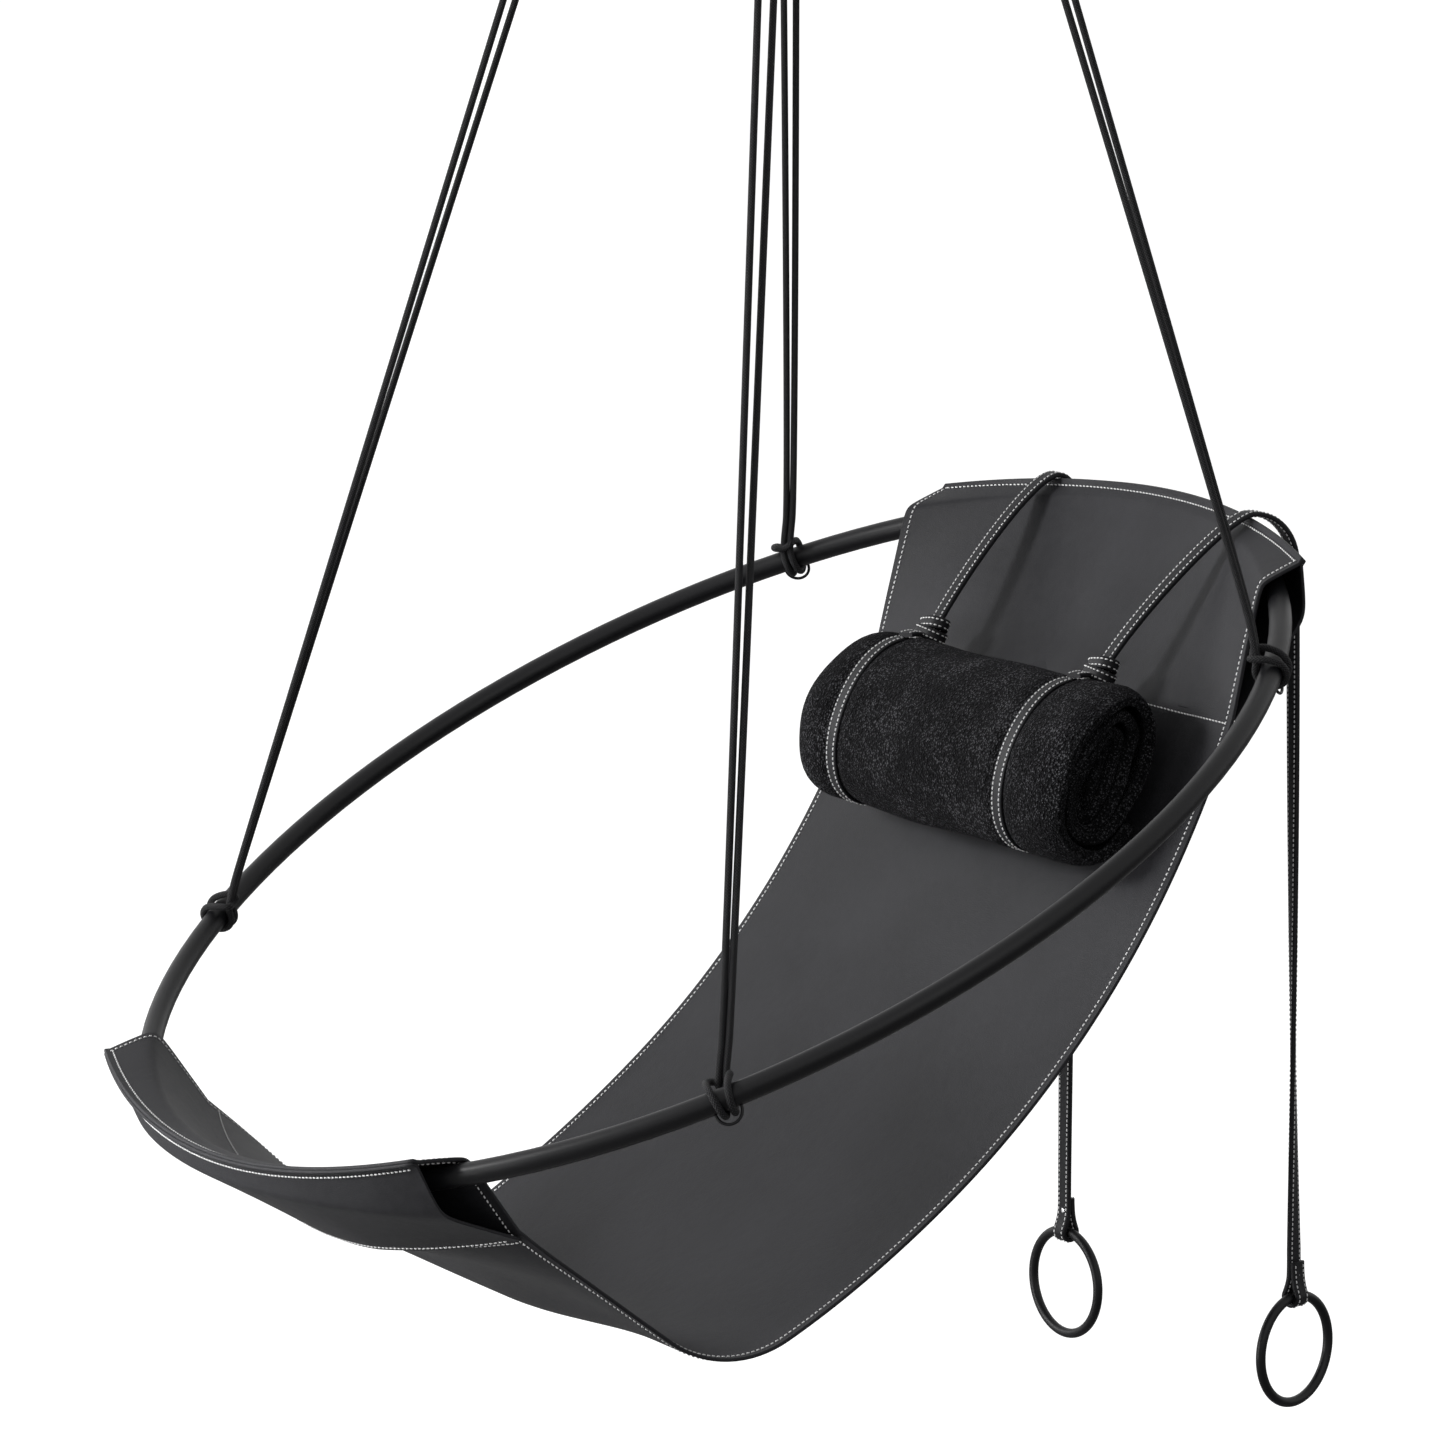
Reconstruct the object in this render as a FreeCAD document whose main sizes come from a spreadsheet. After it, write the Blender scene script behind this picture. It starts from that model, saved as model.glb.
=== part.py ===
import FreeCAD, Part
import Sketcher
import math
import os

# A hanging sling seat: a leather sling drawn over a tilted round steel hoop, on four doubled
# ropes that meet at one swivel. A rolled towel headrest hangs on two straps, which run over
# the head edge to weighted pull rings behind the back.
# X is to the seat's left and right, +Y is towards the head, +Z is up. Places are worked out
# from the hoop's centre, and every piece is then moved so that the origin is the hanging eye.

os.makedirs("parts", exist_ok=True)
V = FreeCAD.Vector
doc = FreeCAD.newDocument("sling_swing_seat")

SIZES = {
    "hoop_radius": 600,
    "tube_radius": 11,
    "tube_wall": 2,
    "hoop_tilt": 27.3,
    "fit_gap": 0.3,
    # ropes, hitches and the wire eyes under them
    "rope_radius": 3.5,
    "head_rope_angle": 42.6,
    "foot_rope_angle": 31.5,
    "head_rope_slot": 15.9,
    "foot_rope_slot": 7.2,
    "eye_wire_radius": 1.5,
    "eye_bend_radius": 12.5,
    # the hanging link, yoke and swivel eye
    "hang_forward": 97,
    "hang_height": 1652,
    "link_wire_radius": 8,
    "link_half_bar": 24,
    "link_corner_radius": 14,
    "link_height": 78,
    "pin_radius": 6,
    "pin_head_radius": 9,
    "pin_head_length": 4,
    "yoke_plate": 6,
    "yoke_width": 26,
    "yoke_gap": 18,
    "yoke_drop": 34,
    "stem_radius": 6,
    "nut_radius": 8.5,
    "nut_height": 8,
    "swivel_eye_bore": 8,
    "swivel_eye_radius": 19,
    "swivel_eye_thick": 14,
    "swivel_eye_rise": 30,
    "collar_radius": 10,
    "collar_height": 4,
    # the leather sling
    "seat_width": 648,
    "seat_thick": 3.5,
    "sleeve_thick": 3,
    "foot_seam_inset": 28.3,
    "foot_seam_drop": 87.4,
    "foot_slope_angle": 37.4,
    "foot_run_share": 0.33167,
    "dip_share": 0.20167,
    "back_start_angle": 25.7,
    "back_share": 1.63333,
    "back_end_angle": 70.15,
    "fin_reach": 11,
    "fin_corner_drop": 63,
    "head_fin_rise": 20,
    "foot_fin_rise": 24,
    "fin_width": 6,
    "seat_belly_head": 10,
    "seat_belly_foot": 1,
    "sleeve_belly_head": 22,
    "sleeve_belly_foot": 32,
    # the towel headrest and its straps
    "roll_length": 470,
    "roll_long_radius": 86,
    "roll_short_radius": 56,
    "roll_end_round": 20,
    "roll_station_angle": 64.5,
    "strap_width": 16,
    "strap_thick": 3,
    "left_loop_offset": 165,
    "right_loop_offset": 147,
    "edge_offset": 177,
    "edge_bend_radius": 9,
    "edge_bend_rise": 3,
    "knot_length": 18,
    "knot_thick": 3.2,
    "left_tail_clear": 2,
    "right_tail_clear": 47,
    "tail_slack": 90,
    # the weighted rings and their rivets
    "ring_radius": 54.5,
    "ring_wire_radius": 5,
    "ring_drop": 504.5,
    "rivet_rise": 22,
    "rivet_radius": 2.5,
    "rivet_head_radius": 5,
    "rivet_head_height": 2.2,
    "strap_end_lap": 36,
    # how far each tail turns about its length down to its ring
    "left_ring_turn": 5,
    "right_ring_turn": -73,
    "twist_power": 1.8,
    "twist_end_rise": 12,
}

sheet = doc.addObject("Spreadsheet::Sheet", "sizes")
for row, (alias, value) in enumerate(SIZES.items(), start=1):
    sheet.set("A%d" % row, alias)
    sheet.set("B%d" % row, str(value))
    sheet.setAlias("B%d" % row, alias)
doc.recompute()


def size(alias):
    return float(sheet.get(alias))


gap = size("fit_gap")
tilt = math.radians(size("hoop_tilt"))
hoop_r = size("hoop_radius")
tube_r = size("tube_radius")
rope_r = size("rope_radius")
link_r = size("link_wire_radius")
half_width = size("seat_width") / 2

# The pin, the yoke's plate and the eye sit above the link's bar in this order.
bar_z = size("hang_height")
pin_z = bar_z + size("link_height")
plate_z = pin_z + size("yoke_drop")
eye_z = plate_z + size("yoke_plate") + gap + size("swivel_eye_rise")
hang_y = size("hang_forward")
ORIGIN = V(0, hang_y, eye_z)

UPRIGHT = FreeCAD.Rotation()
HOOP_TURN = FreeCAD.Rotation(V(1, 0, 0), size("hoop_tilt"))
parts = []


# ---------------------------------------------------------------- helpers


def finish(obj, at=None, turn=UPRIGHT):
    """Keeps obj as a part, placed at a point that is measured from the hoop's centre."""
    obj.Placement = FreeCAD.Placement((at or V(0, 0, 0)) - ORIGIN, turn)
    parts.append(obj)
    return obj


def bind(obj, prop, expression):
    obj.setExpression(prop, expression.replace("$", "sizes."))


def primitive(kind, name, **expressions):
    """A Part primitive whose sizes are bound to the sheet; a $ stands for the sheet's name."""
    obj = doc.addObject("Part::" + kind, name)
    for prop, expression in expressions.items():
        bind(obj, prop, expression)
    return obj


def shape_part(name, shape):
    obj = doc.addObject("Part::Feature", name)
    obj.Label = name
    obj.Shape = shape
    return obj


def new_body(name):
    body = doc.addObject("PartDesign::Body", name)
    body.Label = name
    return body


def new_sketch(body, name, role):
    """A sketch on one of its own body's origin planes."""
    sketch = body.newObject("Sketcher::SketchObject", name)
    plane = [f for f in body.Origin.OriginFeatures if f.Role == role][0]
    sketch.AttachmentSupport = (plane, [""])
    sketch.MapMode = "FlatFace"
    return sketch


def constrain(sketch, expression, *args):
    """Adds a constraint, and binds its value to the sheet where an expression is given."""
    index = sketch.addConstraint(Sketcher.Constraint(*args))
    if expression:
        bind(sketch, "Constraints[%d]" % index, expression)
    return index


def circle(sketch, centre, radius, expression):
    index = sketch.addGeometry(Part.Circle(V(centre[0], centre[1], 0), V(0, 0, 1), radius))
    constrain(sketch, expression, "Radius", index, radius)
    return index


def centred(sketch, index):
    """Holds a circle's or an ellipse's centre on the sketch's origin."""
    sketch.addConstraint(Sketcher.Constraint("Coincident", index, 3, -1, 1))


def rectangle(sketch, x0, y0, x1, y1):
    """Four lines, joined, level and upright."""
    corners = [V(x0, y0, 0), V(x1, y0, 0), V(x1, y1, 0), V(x0, y1, 0)]
    first = sketch.GeometryCount
    for i in range(4):
        sketch.addGeometry(Part.LineSegment(corners[i], corners[(i + 1) % 4]))
    for i in range(4):
        side = first + i
        sketch.addConstraint(Sketcher.Constraint("Coincident", side, 2, first + (i + 1) % 4, 1))
        sketch.addConstraint(Sketcher.Constraint("Vertical" if i % 2 else "Horizontal", side))
    return first


def pad(body, name, sketch, expression, middle=True):
    feature = body.newObject("PartDesign::Pad", name)
    feature.Profile = sketch
    bind(feature, "Length", expression)
    feature.Midplane = middle
    sketch.Visibility = False
    return feature


def hoop_point(angle, radius=None):
    """The point of the hoop at this many degrees from +X towards the head."""
    a = math.radians(angle)
    r = hoop_r if radius is None else radius
    return V(r * math.cos(a), r * math.sin(a) * math.cos(tilt), r * math.sin(a) * math.sin(tilt))


# ---------------------------------------------------------------- hoop

hoop_outer = primitive("Torus", "hoop_outer", Radius1="$hoop_radius", Radius2="$tube_radius")
hoop_inner = primitive(
    "Torus", "hoop_inner", Radius1="$hoop_radius", Radius2="$tube_radius - $tube_wall"
)
hoop = doc.addObject("Part::Cut", "hoop")
hoop.Base = hoop_outer
hoop.Tool = hoop_inner
finish(hoop, turn=HOOP_TURN)


# ---------------------------------------------------------------- ropes, hitches and eyes

ROPES = (
    ("head_left", 180 - size("head_rope_angle"), -size("head_rope_slot")),
    ("head_right", size("head_rope_angle"), size("head_rope_slot")),
    ("foot_left", 180 + size("foot_rope_angle"), -size("foot_rope_slot")),
    ("foot_right", -size("foot_rope_angle"), size("foot_rope_slot")),
)
wrap_r = tube_r + gap + rope_r
hitch_top = wrap_r + rope_r
strand_gap = rope_r + gap / 2


def tube_between(path, radius):
    """A round tube along a wire of straight runs and tangent arcs."""
    start = path.Edges[0].Vertexes[0].Point
    ahead = path.Edges[0].tangentAt(path.Edges[0].FirstParameter)
    profile = Part.Wire([Part.makeCircle(radius, start, ahead)])
    return path.makePipeShell([profile], True, True)


for name, angle, slot in ROPES:
    at = hoop_point(angle)
    bar = V(slot, hang_y, bar_z)
    a = math.radians(angle)
    along = V(-math.sin(a), math.cos(a) * math.cos(tilt), math.cos(a) * math.sin(tilt))
    pull = bar - at
    up = pull - along * pull.dot(along)
    up.normalize()
    across = along.cross(up)
    turn = FreeCAD.Rotation(along, across, up, "XZY")

    # The doubled rope: one bight over the link's bar and two strands down to the hitch. The
    # strands lean along the tube, so they stop higher by what their cut ends lean down, and
    # the bight is wider by what its plane leans along the bar.
    down = pull * (-1 / pull.Length)
    beside = V(0, 1, 0) - down * down.y
    beside.normalize()
    end_dip = strand_gap * abs(beside.dot(up)) + rope_r * math.sqrt(1 - down.dot(up) ** 2)
    foot = at + up * (hitch_top + gap + end_dip)
    down = foot - bar
    length = down.Length
    down.normalize()
    bar_turn_r = (link_r + gap + rope_r) / math.sqrt(1 - down.x**2)
    beside = V(0, 1, 0) - down * down.y
    beside.normalize()
    lean = math.asin((bar_turn_r - strand_gap) / length)
    ends = [foot + beside * side * strand_gap for side in (1, -1)]
    touch = [
        bar + (beside * side * math.cos(lean) + down * math.sin(lean)) * bar_turn_r
        for side in (1, -1)
    ]
    path = Part.Wire(
        [
            Part.LineSegment(ends[0], touch[0]).toShape(),
            Part.Arc(touch[0], bar - down * bar_turn_r, touch[1]).toShape(),
            Part.LineSegment(touch[1], ends[1]).toShape(),
        ]
    )
    rope = shape_part("rope_" + name, tube_between(path, rope_r))
    run = path.Length * math.pi * rope_r**2
    print("rope_%s length %.0f mm, volume ratio %.4f" % (name, path.Length, rope.Shape.Volume / run))
    finish(rope)

    # The cow hitch: two turns side by side round the tube, and the bight that holds the strands.
    hitch = new_body("hitch_" + name)
    band = new_sketch(hitch, "turns_" + name, "XY_Plane")
    half = 2 * rope_r + gap
    first = rectangle(band, -half, wrap_r - rope_r, half, wrap_r + rope_r)
    constrain(band, "$tube_radius + $fit_gap", "DistanceY", -1, 1, first, 1, wrap_r - rope_r)
    constrain(band, "2 * $rope_radius", "DistanceY", first + 1, 1, first + 1, 2, 2 * rope_r)
    constrain(band, "2 * $rope_radius + $fit_gap", "DistanceX", -1, 1, first + 1, 1, half)
    constrain(band, "2 * $rope_radius + $fit_gap", "DistanceX", first, 1, -1, 1, half)
    turns = hitch.newObject("PartDesign::Revolution", "round_tube_" + name)
    turns.Profile = band
    turns.ReferenceAxis = (band, ["H_Axis"])
    turns.Angle = 360
    doc.recompute()
    soft = hitch.newObject("PartDesign::Chamfer", "soft_edges_" + name)
    outer = [
        "Edge%d" % (i + 1)
        for i, e in enumerate(turns.Shape.Edges)
        if isinstance(e.Curve, Part.Circle) and e.Curve.Radius > wrap_r
    ]
    soft.Base = (turns, outer)
    bind(soft, "Size", "0.6 * $rope_radius")
    finish(hitch, at, turn)

    # The wire staple under the tube, which the hitch's two turns pass through.
    eye = primitive(
        "Torus",
        "eye_" + name,
        Radius1="$eye_bend_radius",
        Radius2="$eye_wire_radius",
        Angle3="180",
    )
    staple_turn = FreeCAD.Rotation(along, up * -1, across * -1, "XYZ")
    finish(eye, at - up * (tube_r + gap), staple_turn)


# ---------------------------------------------------------------- leather sling
# Section points are (y, z) pairs in the plane x = constant, written as complex numbers:
# multiplying by 1j turns a heading a quarter turn to its left, which is the seat's upper side.


def heading(degrees):
    a = math.radians(degrees)
    return complex(math.cos(a), math.sin(a))


def arc_step(start, radius, degrees_from, degrees_to):
    """The end and the middle of an arc that turns left from one heading to another."""
    centre = start + 1j * radius * heading(degrees_from)
    end = centre - 1j * radius * heading(degrees_to)
    middle = centre - 1j * radius * heading((degrees_from + degrees_to) / 2)
    return end, middle, centre


seat_t = size("seat_thick")
sleeve_t = size("sleeve_thick")
foot_slope = size("foot_slope_angle")
back_start = size("back_start_angle")
back_end = size("back_end_angle")
dip_r = size("dip_share") * hoop_r
back_r = size("back_share") * hoop_r
plane_along = heading(size("hoop_tilt"))
# Where the seat's side edges cross the hoop, measured from the hoop's centre.
edge_chord = math.sqrt(hoop_r**2 - half_width**2)
foot_seam = -plane_along * (edge_chord - size("foot_seam_inset"))
foot_seam += -1j * plane_along * size("foot_seam_drop")
dip_start = foot_seam + size("foot_run_share") * hoop_r * heading(-foot_slope)
back_foot, dip_middle, dip_centre = arc_step(
    dip_start, dip_r, -foot_slope, back_start
)
head_seam, back_middle, back_centre = arc_step(
    back_foot, back_r, back_start, back_end
)


def point(x, p):
    return V(x, p.real, p.imag)


def line(x, p, q):
    return Part.LineSegment(point(x, p), point(x, q)).toShape()


def arc(x, p, middle, q):
    return Part.Arc(point(x, p), point(x, middle), point(x, q)).toShape()


def seat_side(offset, x):
    """The middle stretch's three edges, this far to the upper side of its middle surface."""
    ends = []
    for p, degrees in (
        (foot_seam, -foot_slope),
        (dip_start, -foot_slope),
        (back_foot, back_start),
        (head_seam, back_end),
    ):
        ends.append(p + 1j * offset * heading(degrees))
    middles = [
        dip_centre - 1j * (dip_r - offset) * heading((back_start - foot_slope) / 2),
        back_centre - 1j * (back_r - offset) * heading((back_start + back_end) / 2),
    ]
    return [
        line(x, ends[0], ends[1]),
        arc(x, ends[1], middles[0], ends[2]),
        arc(x, ends[2], middles[1], ends[3]),
    ]


def drawn_over(start, centre, radius, goal, side):
    """A taut line from start to goal over a circle, which it keeps on its right (side 1) or left."""

    def touch(p, turn):
        d = centre - p
        lean = math.asin(min(1, radius / abs(d)))
        reach = math.sqrt(max(0, abs(d) ** 2 - radius**2))
        return p + reach * d / abs(d) * complex(math.cos(lean), turn * math.sin(lean))

    t1 = touch(start, side)
    t2 = touch(goal, -side)
    out = (t1 - centre) + (t2 - centre)
    return t1, centre + radius * out / abs(out), t2


def end_zone(end, x):
    """The tube's centre and half depth, and the fin's root and tip, where the plane x cuts them."""
    share = (x / half_width) ** 2
    sign = 1 if end == "head" else -1
    rise = size(end + "_fin_rise")
    plane_out = sign * plane_along
    plane_up = 1j * plane_along
    centre = math.sqrt(hoop_r**2 - x**2) * plane_out
    depth = tube_r / math.sqrt(1 - (x / hoop_r) ** 2)
    reach = hoop_r + size("fin_reach") - size("fin_corner_drop") * share
    tip = reach * plane_out + rise * plane_up
    out = (tip - centre) / abs(tip - centre)
    return share, centre, depth, tip - size("fin_width") * out, tip, out


def sheet_section(end, x, upper):
    """One leather sheet's closed outline at x, from its seam, over the tube and along the fin.

    The seat passes the tube on its upper side and the sleeve on its lower side."""
    share, centre, depth, root, tip, out = end_zone(end, x)
    side = 1 if end == "head" else -1
    lift = 1 if upper else -1
    up = 1j * side * out * lift
    degrees = back_end if end == "head" else -foot_slope
    seam = head_seam if end == "head" else foot_seam
    normal = 1j * heading(degrees)
    if upper:
        thick = seat_t
        seam_near, seam_far = seam - normal * seat_t / 2, seam + normal * seat_t / 2
        belly = size("seat_belly_" + end) * share
    else:
        thick = sleeve_t
        seam_near = seam - normal * (seat_t / 2 + gap / 2)
        seam_far = seam_near - normal * sleeve_t
        belly = size("sleeve_belly_" + end) * share
    near = depth + gap
    centre += up * belly
    n1, nm, n2 = drawn_over(seam_near, centre, near, root + up * gap / 4, side * lift)
    f1, fm, f2 = drawn_over(
        seam_far, centre, near + thick, root + up * (gap / 4 + thick), side * lift
    )
    root_near, tip_near = root + up * gap / 4, tip + up * gap / 4
    root_far, tip_far = root_near + up * thick, tip_near + up * thick
    return Part.Wire(
        [
            line(x, seam_near, n1),
            arc(x, n1, nm, n2),
            line(x, n2, root_near),
            line(x, root_near, tip_near),
            line(x, tip_near, tip_far),
            line(x, tip_far, root_far),
            line(x, root_far, f2),
            arc(x, f2, fm, f1),
            line(x, f1, seam_far),
            line(x, seam_far, seam_near),
        ]
    )


LOFT_STEPS = 8
STATIONS = [half_width * (2 * i / LOFT_STEPS - 1) for i in range(LOFT_STEPS + 1)]


def lofted(end, upper):
    return Part.makeLoft([sheet_section(end, x, upper) for x in STATIONS], True, False)


upper_side = seat_side(seat_t / 2, -half_width)
lower_side = seat_side(-seat_t / 2, -half_width)
caps = [
    Part.LineSegment(lower_side[0].Vertexes[0].Point, upper_side[0].Vertexes[0].Point).toShape(),
    Part.LineSegment(lower_side[-1].Vertexes[-1].Point, upper_side[-1].Vertexes[-1].Point).toShape(),
]
outline = Part.Wire(Part.__sortEdges__(upper_side + lower_side + caps))
middle = Part.Face(outline).extrude(V(2 * half_width, 0, 0))
head_end, foot_end = lofted("head", True), lofted("foot", True)
seat = middle.fuse([head_end, foot_end]).removeSplitter()
finish(shape_part("seat_panel", seat))
finish(shape_part("head_sleeve", lofted("head", False)))
finish(shape_part("foot_sleeve", lofted("foot", False)))


# ---------------------------------------------------------------- hanging link, yoke and eye

# The link is one round bar, bent to a triangle: a straight bar for the ropes at the bottom,
# two round corners, and an apex that is an arc about the yoke's pin.
link = new_body("hang_link")
apex_r = size("pin_radius") + gap + link_r
corner_r = size("link_corner_radius")
half_bar = size("link_half_bar")
corner = complex(half_bar, corner_r)
apex = complex(0, size("link_height"))
lean = (apex - corner) / abs(apex - corner)
tuck = (corner_r - apex_r) / abs(apex - corner)
side_out = lean * complex(-tuck, -math.sqrt(1 - tuck**2))
side_foot = corner + corner_r * side_out
side_top = apex + apex_r * side_out


def mirrored(p):
    return complex(-p.real, p.imag)


def flat(p):
    return V(p.real, p.imag, 0)


def arc_through(centre, radius, p, q):
    out = (p - centre) + (q - centre)
    return Part.Arc(flat(p), flat(centre + radius * out / abs(out)), flat(q))


spine = new_sketch(link, "link_path", "XZ_Plane")
bar_end = complex(half_bar, 0)
top = apex + 1j * apex_r
spine.addGeometry(
    [
        Part.LineSegment(flat(mirrored(bar_end)), flat(bar_end)),
        arc_through(corner, corner_r, bar_end, side_foot),
        Part.LineSegment(flat(side_foot), flat(side_top)),
        Part.Arc(flat(side_top), flat(top), flat(mirrored(side_top))),
        Part.LineSegment(flat(mirrored(side_top)), flat(mirrored(side_foot))),
        arc_through(mirrored(corner), corner_r, mirrored(side_foot), mirrored(bar_end)),
    ]
)
link_round = new_sketch(link, "link_round", "YZ_Plane")
centred(link_round, circle(link_round, (0, 0), link_r, "$link_wire_radius"))
bent_bar = link.newObject("PartDesign::AdditivePipe", "bent_bar")
bent_bar.Profile = link_round
bent_bar.Spine = (spine, ["Edge%d" % i for i in range(1, 7)])
bent_bar.Mode = "Standard"
finish(link, V(0, hang_y, bar_z))

# The yoke: a bent strap with the swivel stem's hole in its plate and the pin's in its legs.
yoke = new_body("swivel_yoke")
leg_drop = size("yoke_drop") + 2 * size("pin_radius")
inside = size("yoke_gap") / 2
outside = inside + size("yoke_plate")
frame = new_sketch(yoke, "yoke_section", "YZ_Plane")
corners = [
    V(-outside, -leg_drop, 0),
    V(-inside, -leg_drop, 0),
    V(-inside, 0, 0),
    V(inside, 0, 0),
    V(inside, -leg_drop, 0),
    V(outside, -leg_drop, 0),
    V(outside, size("yoke_plate"), 0),
    V(-outside, size("yoke_plate"), 0),
]
for i in range(8):
    frame.addGeometry(Part.LineSegment(corners[i], corners[(i + 1) % 8]))
for i in range(8):
    constrain(frame, None, "Coincident", i, 2, (i + 1) % 8, 1)
    constrain(frame, None, "Vertical" if i % 2 else "Horizontal", i)
constrain(frame, "$yoke_gap / 2", "DistanceX", -1, 1, 2, 2, inside)
constrain(frame, None, "PointOnObject", 2, 1, -1)
constrain(frame, "$yoke_gap", "DistanceX", 2, 1, 2, 2, 2 * inside)
constrain(frame, "$yoke_plate", "DistanceX", 0, 1, 0, 2, outside - inside)
constrain(frame, "$yoke_plate", "DistanceX", 4, 1, 4, 2, outside - inside)
constrain(frame, "$yoke_plate", "DistanceY", 3, 1, 6, 1, size("yoke_plate"))
constrain(frame, "$yoke_drop + 2 * $pin_radius", "DistanceY", 3, 2, 3, 1, leg_drop)
constrain(frame, None, "Horizontal", 0, 2, 4, 1)
pad(yoke, "yoke_strap", frame, "$yoke_width")
doc.recompute()
for label, role, radius, expression, drop in (
    ("pin_holes", "XZ_Plane", size("pin_radius") + gap / 2, "$pin_radius + $fit_gap / 2", True),
    ("stem_hole", "XY_Plane", size("stem_radius") + gap / 2, "$stem_radius + $fit_gap / 2", False),
):
    hole = new_sketch(yoke, label + "_sketch", role)
    y = -size("yoke_drop") if drop else 0
    index = circle(hole, (0, y), radius, expression)
    if drop:
        constrain(hole, None, "PointOnObject", index, 3, -2)
        constrain(hole, "$yoke_drop", "DistanceY", index, 3, -1, 1, size("yoke_drop"))
    else:
        centred(hole, index)
    pocket = yoke.newObject("PartDesign::Pocket", label)
    pocket.Profile = hole
    pocket.Midplane = True
    bind(pocket, "Length", "4 * ($yoke_gap + $yoke_plate)")
    hole.Visibility = False
doc.recompute()
rounds = yoke.newObject("PartDesign::Fillet", "leg_rounds")
leg_edges = [
    "Edge%d" % (i + 1)
    for i, e in enumerate(pocket.Shape.Edges)
    if abs(e.BoundBox.ZMax + leg_drop) < 0.01 and e.BoundBox.YLength > size("yoke_plate") - 0.01
    and e.BoundBox.XLength < 0.01
]
rounds.Base = (pocket, leg_edges)
bind(rounds, "Radius", "0.45 * $yoke_width")
finish(yoke, V(0, hang_y, plate_z))

PIN_TURN = FreeCAD.Rotation(V(1, 0, 0), 90)
shank = primitive(
    "Cylinder", "pin_shank", Radius="$pin_radius", Height="$yoke_gap + 2 * $yoke_plate + 2 * $fit_gap"
)
heads = []
for label, start in (
    ("pin_head", "-$pin_head_length"),
    ("pin_rivet", "$yoke_gap + 2 * $yoke_plate + 2 * $fit_gap"),
):
    head = primitive("Cylinder", label, Radius="$pin_head_radius", Height="$pin_head_length")
    bind(head, "Placement.Base.z", start)
    heads.append(head)
pin = doc.addObject("Part::MultiFuse", "yoke_pin")
pin.Shapes = [shank] + heads
finish(pin, V(0, hang_y + outside + gap, pin_z), PIN_TURN)

# The swivel eye: a thick ring with a collar and a stem that turns in the yoke's plate.
ring = primitive("Cylinder", "eye_disc", Radius="$swivel_eye_radius", Height="$swivel_eye_thick")
ring.Placement.Rotation = FreeCAD.Rotation(V(0, 1, 0), 90)
bind(ring, "Placement.Base.x", "-$swivel_eye_thick / 2")
stem = primitive(
    "Cylinder",
    "eye_stem",
    Radius="$stem_radius",
    Height="$swivel_eye_rise + 2 * $fit_gap + $yoke_plate + $nut_height - $swivel_eye_bore - 2",
)
bind(stem, "Placement.Base.z", "-$swivel_eye_rise - 2 * $fit_gap - $yoke_plate - $nut_height")
collar = primitive("Cylinder", "eye_collar", Radius="$collar_radius", Height="$collar_height")
bind(collar, "Placement.Base.z", "-$swivel_eye_rise")
neck = primitive(
    "Cone",
    "eye_neck",
    Radius1="$collar_radius",
    Radius2="$swivel_eye_thick / 2",
    Height="$swivel_eye_rise - $collar_height - $swivel_eye_bore - 2",
)
bind(neck, "Placement.Base.z", "-$swivel_eye_rise + $collar_height")
eye_solid = doc.addObject("Part::MultiFuse", "eye_solid")
eye_solid.Shapes = [ring, stem, collar, neck]
bore = primitive("Cylinder", "eye_bore", Radius="$swivel_eye_bore", Height="2 * $swivel_eye_thick")
bore.Placement.Rotation = FreeCAD.Rotation(V(0, 1, 0), 90)
bind(bore, "Placement.Base.x", "-$swivel_eye_thick")
eye = doc.addObject("Part::Cut", "swivel_eye")
eye.Base = eye_solid
eye.Tool = bore
finish(eye, ORIGIN)

nut_blank = primitive("Cylinder", "nut_blank", Radius="$nut_radius", Height="$nut_height")
nut_bore = primitive(
    "Cylinder", "nut_bore", Radius="$stem_radius + $fit_gap / 4", Height="$nut_height"
)
nut = doc.addObject("Part::Cut", "swivel_nut")
nut.Base = nut_blank
nut.Tool = nut_bore
finish(nut, V(0, hang_y, plate_z - gap - size("nut_height")))


# ---------------------------------------------------------------- headrest, straps and rings

long_r, short_r = size("roll_long_radius"), size("roll_short_radius")
strap_t = size("strap_thick")
roll_out = back_r - seat_t / 2 - 2 * gap - strap_t - short_r
roll_along = heading(size("roll_station_angle"))
roll_at = back_centre - 1j * roll_out * roll_along
ROLL_TURN = FreeCAD.Rotation(V(1, 0, 0), size("roll_station_angle") - 90)


def oval(sketch, grow, expression):
    """An ellipse on the origin, the roll's own section grown by a margin."""
    tall, wide = long_r + grow, short_r + grow
    index = sketch.addGeometry(Part.Ellipse(V(0, tall, 0), V(wide, 0, 0), V(0, 0, 0)))
    sketch.exposeInternalGeometry(index)
    centred(sketch, index)
    constrain(sketch, None, "Vertical", index + 1)
    constrain(sketch, "2 * ($roll_long_radius%s)" % expression, "Distance", index + 1, 2 * tall)
    constrain(sketch, "2 * ($roll_short_radius%s)" % expression, "Distance", index + 2, 2 * wide)


roll = new_body("headrest_roll")
roll_section = new_sketch(roll, "roll_section", "YZ_Plane")
oval(roll_section, 0, "")
towel = pad(roll, "rolled_towel", roll_section, "$roll_length")
doc.recompute()
soft_ends = roll.newObject("PartDesign::Fillet", "soft_ends")
soft_ends.Base = (
    towel,
    ["Edge%d" % (i + 1) for i, e in enumerate(towel.Shape.Edges) if e.BoundBox.XLength < 0.01],
)
bind(soft_ends, "Radius", "$roll_end_round")
finish(roll, point(0, roll_at), ROLL_TURN)

knot_rise = long_r + 2 * gap + strap_t
knot_size = 2 * size("knot_thick") + strap_t
knot_at = roll_at + roll_along * (knot_rise + knot_size / 2)


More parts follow.
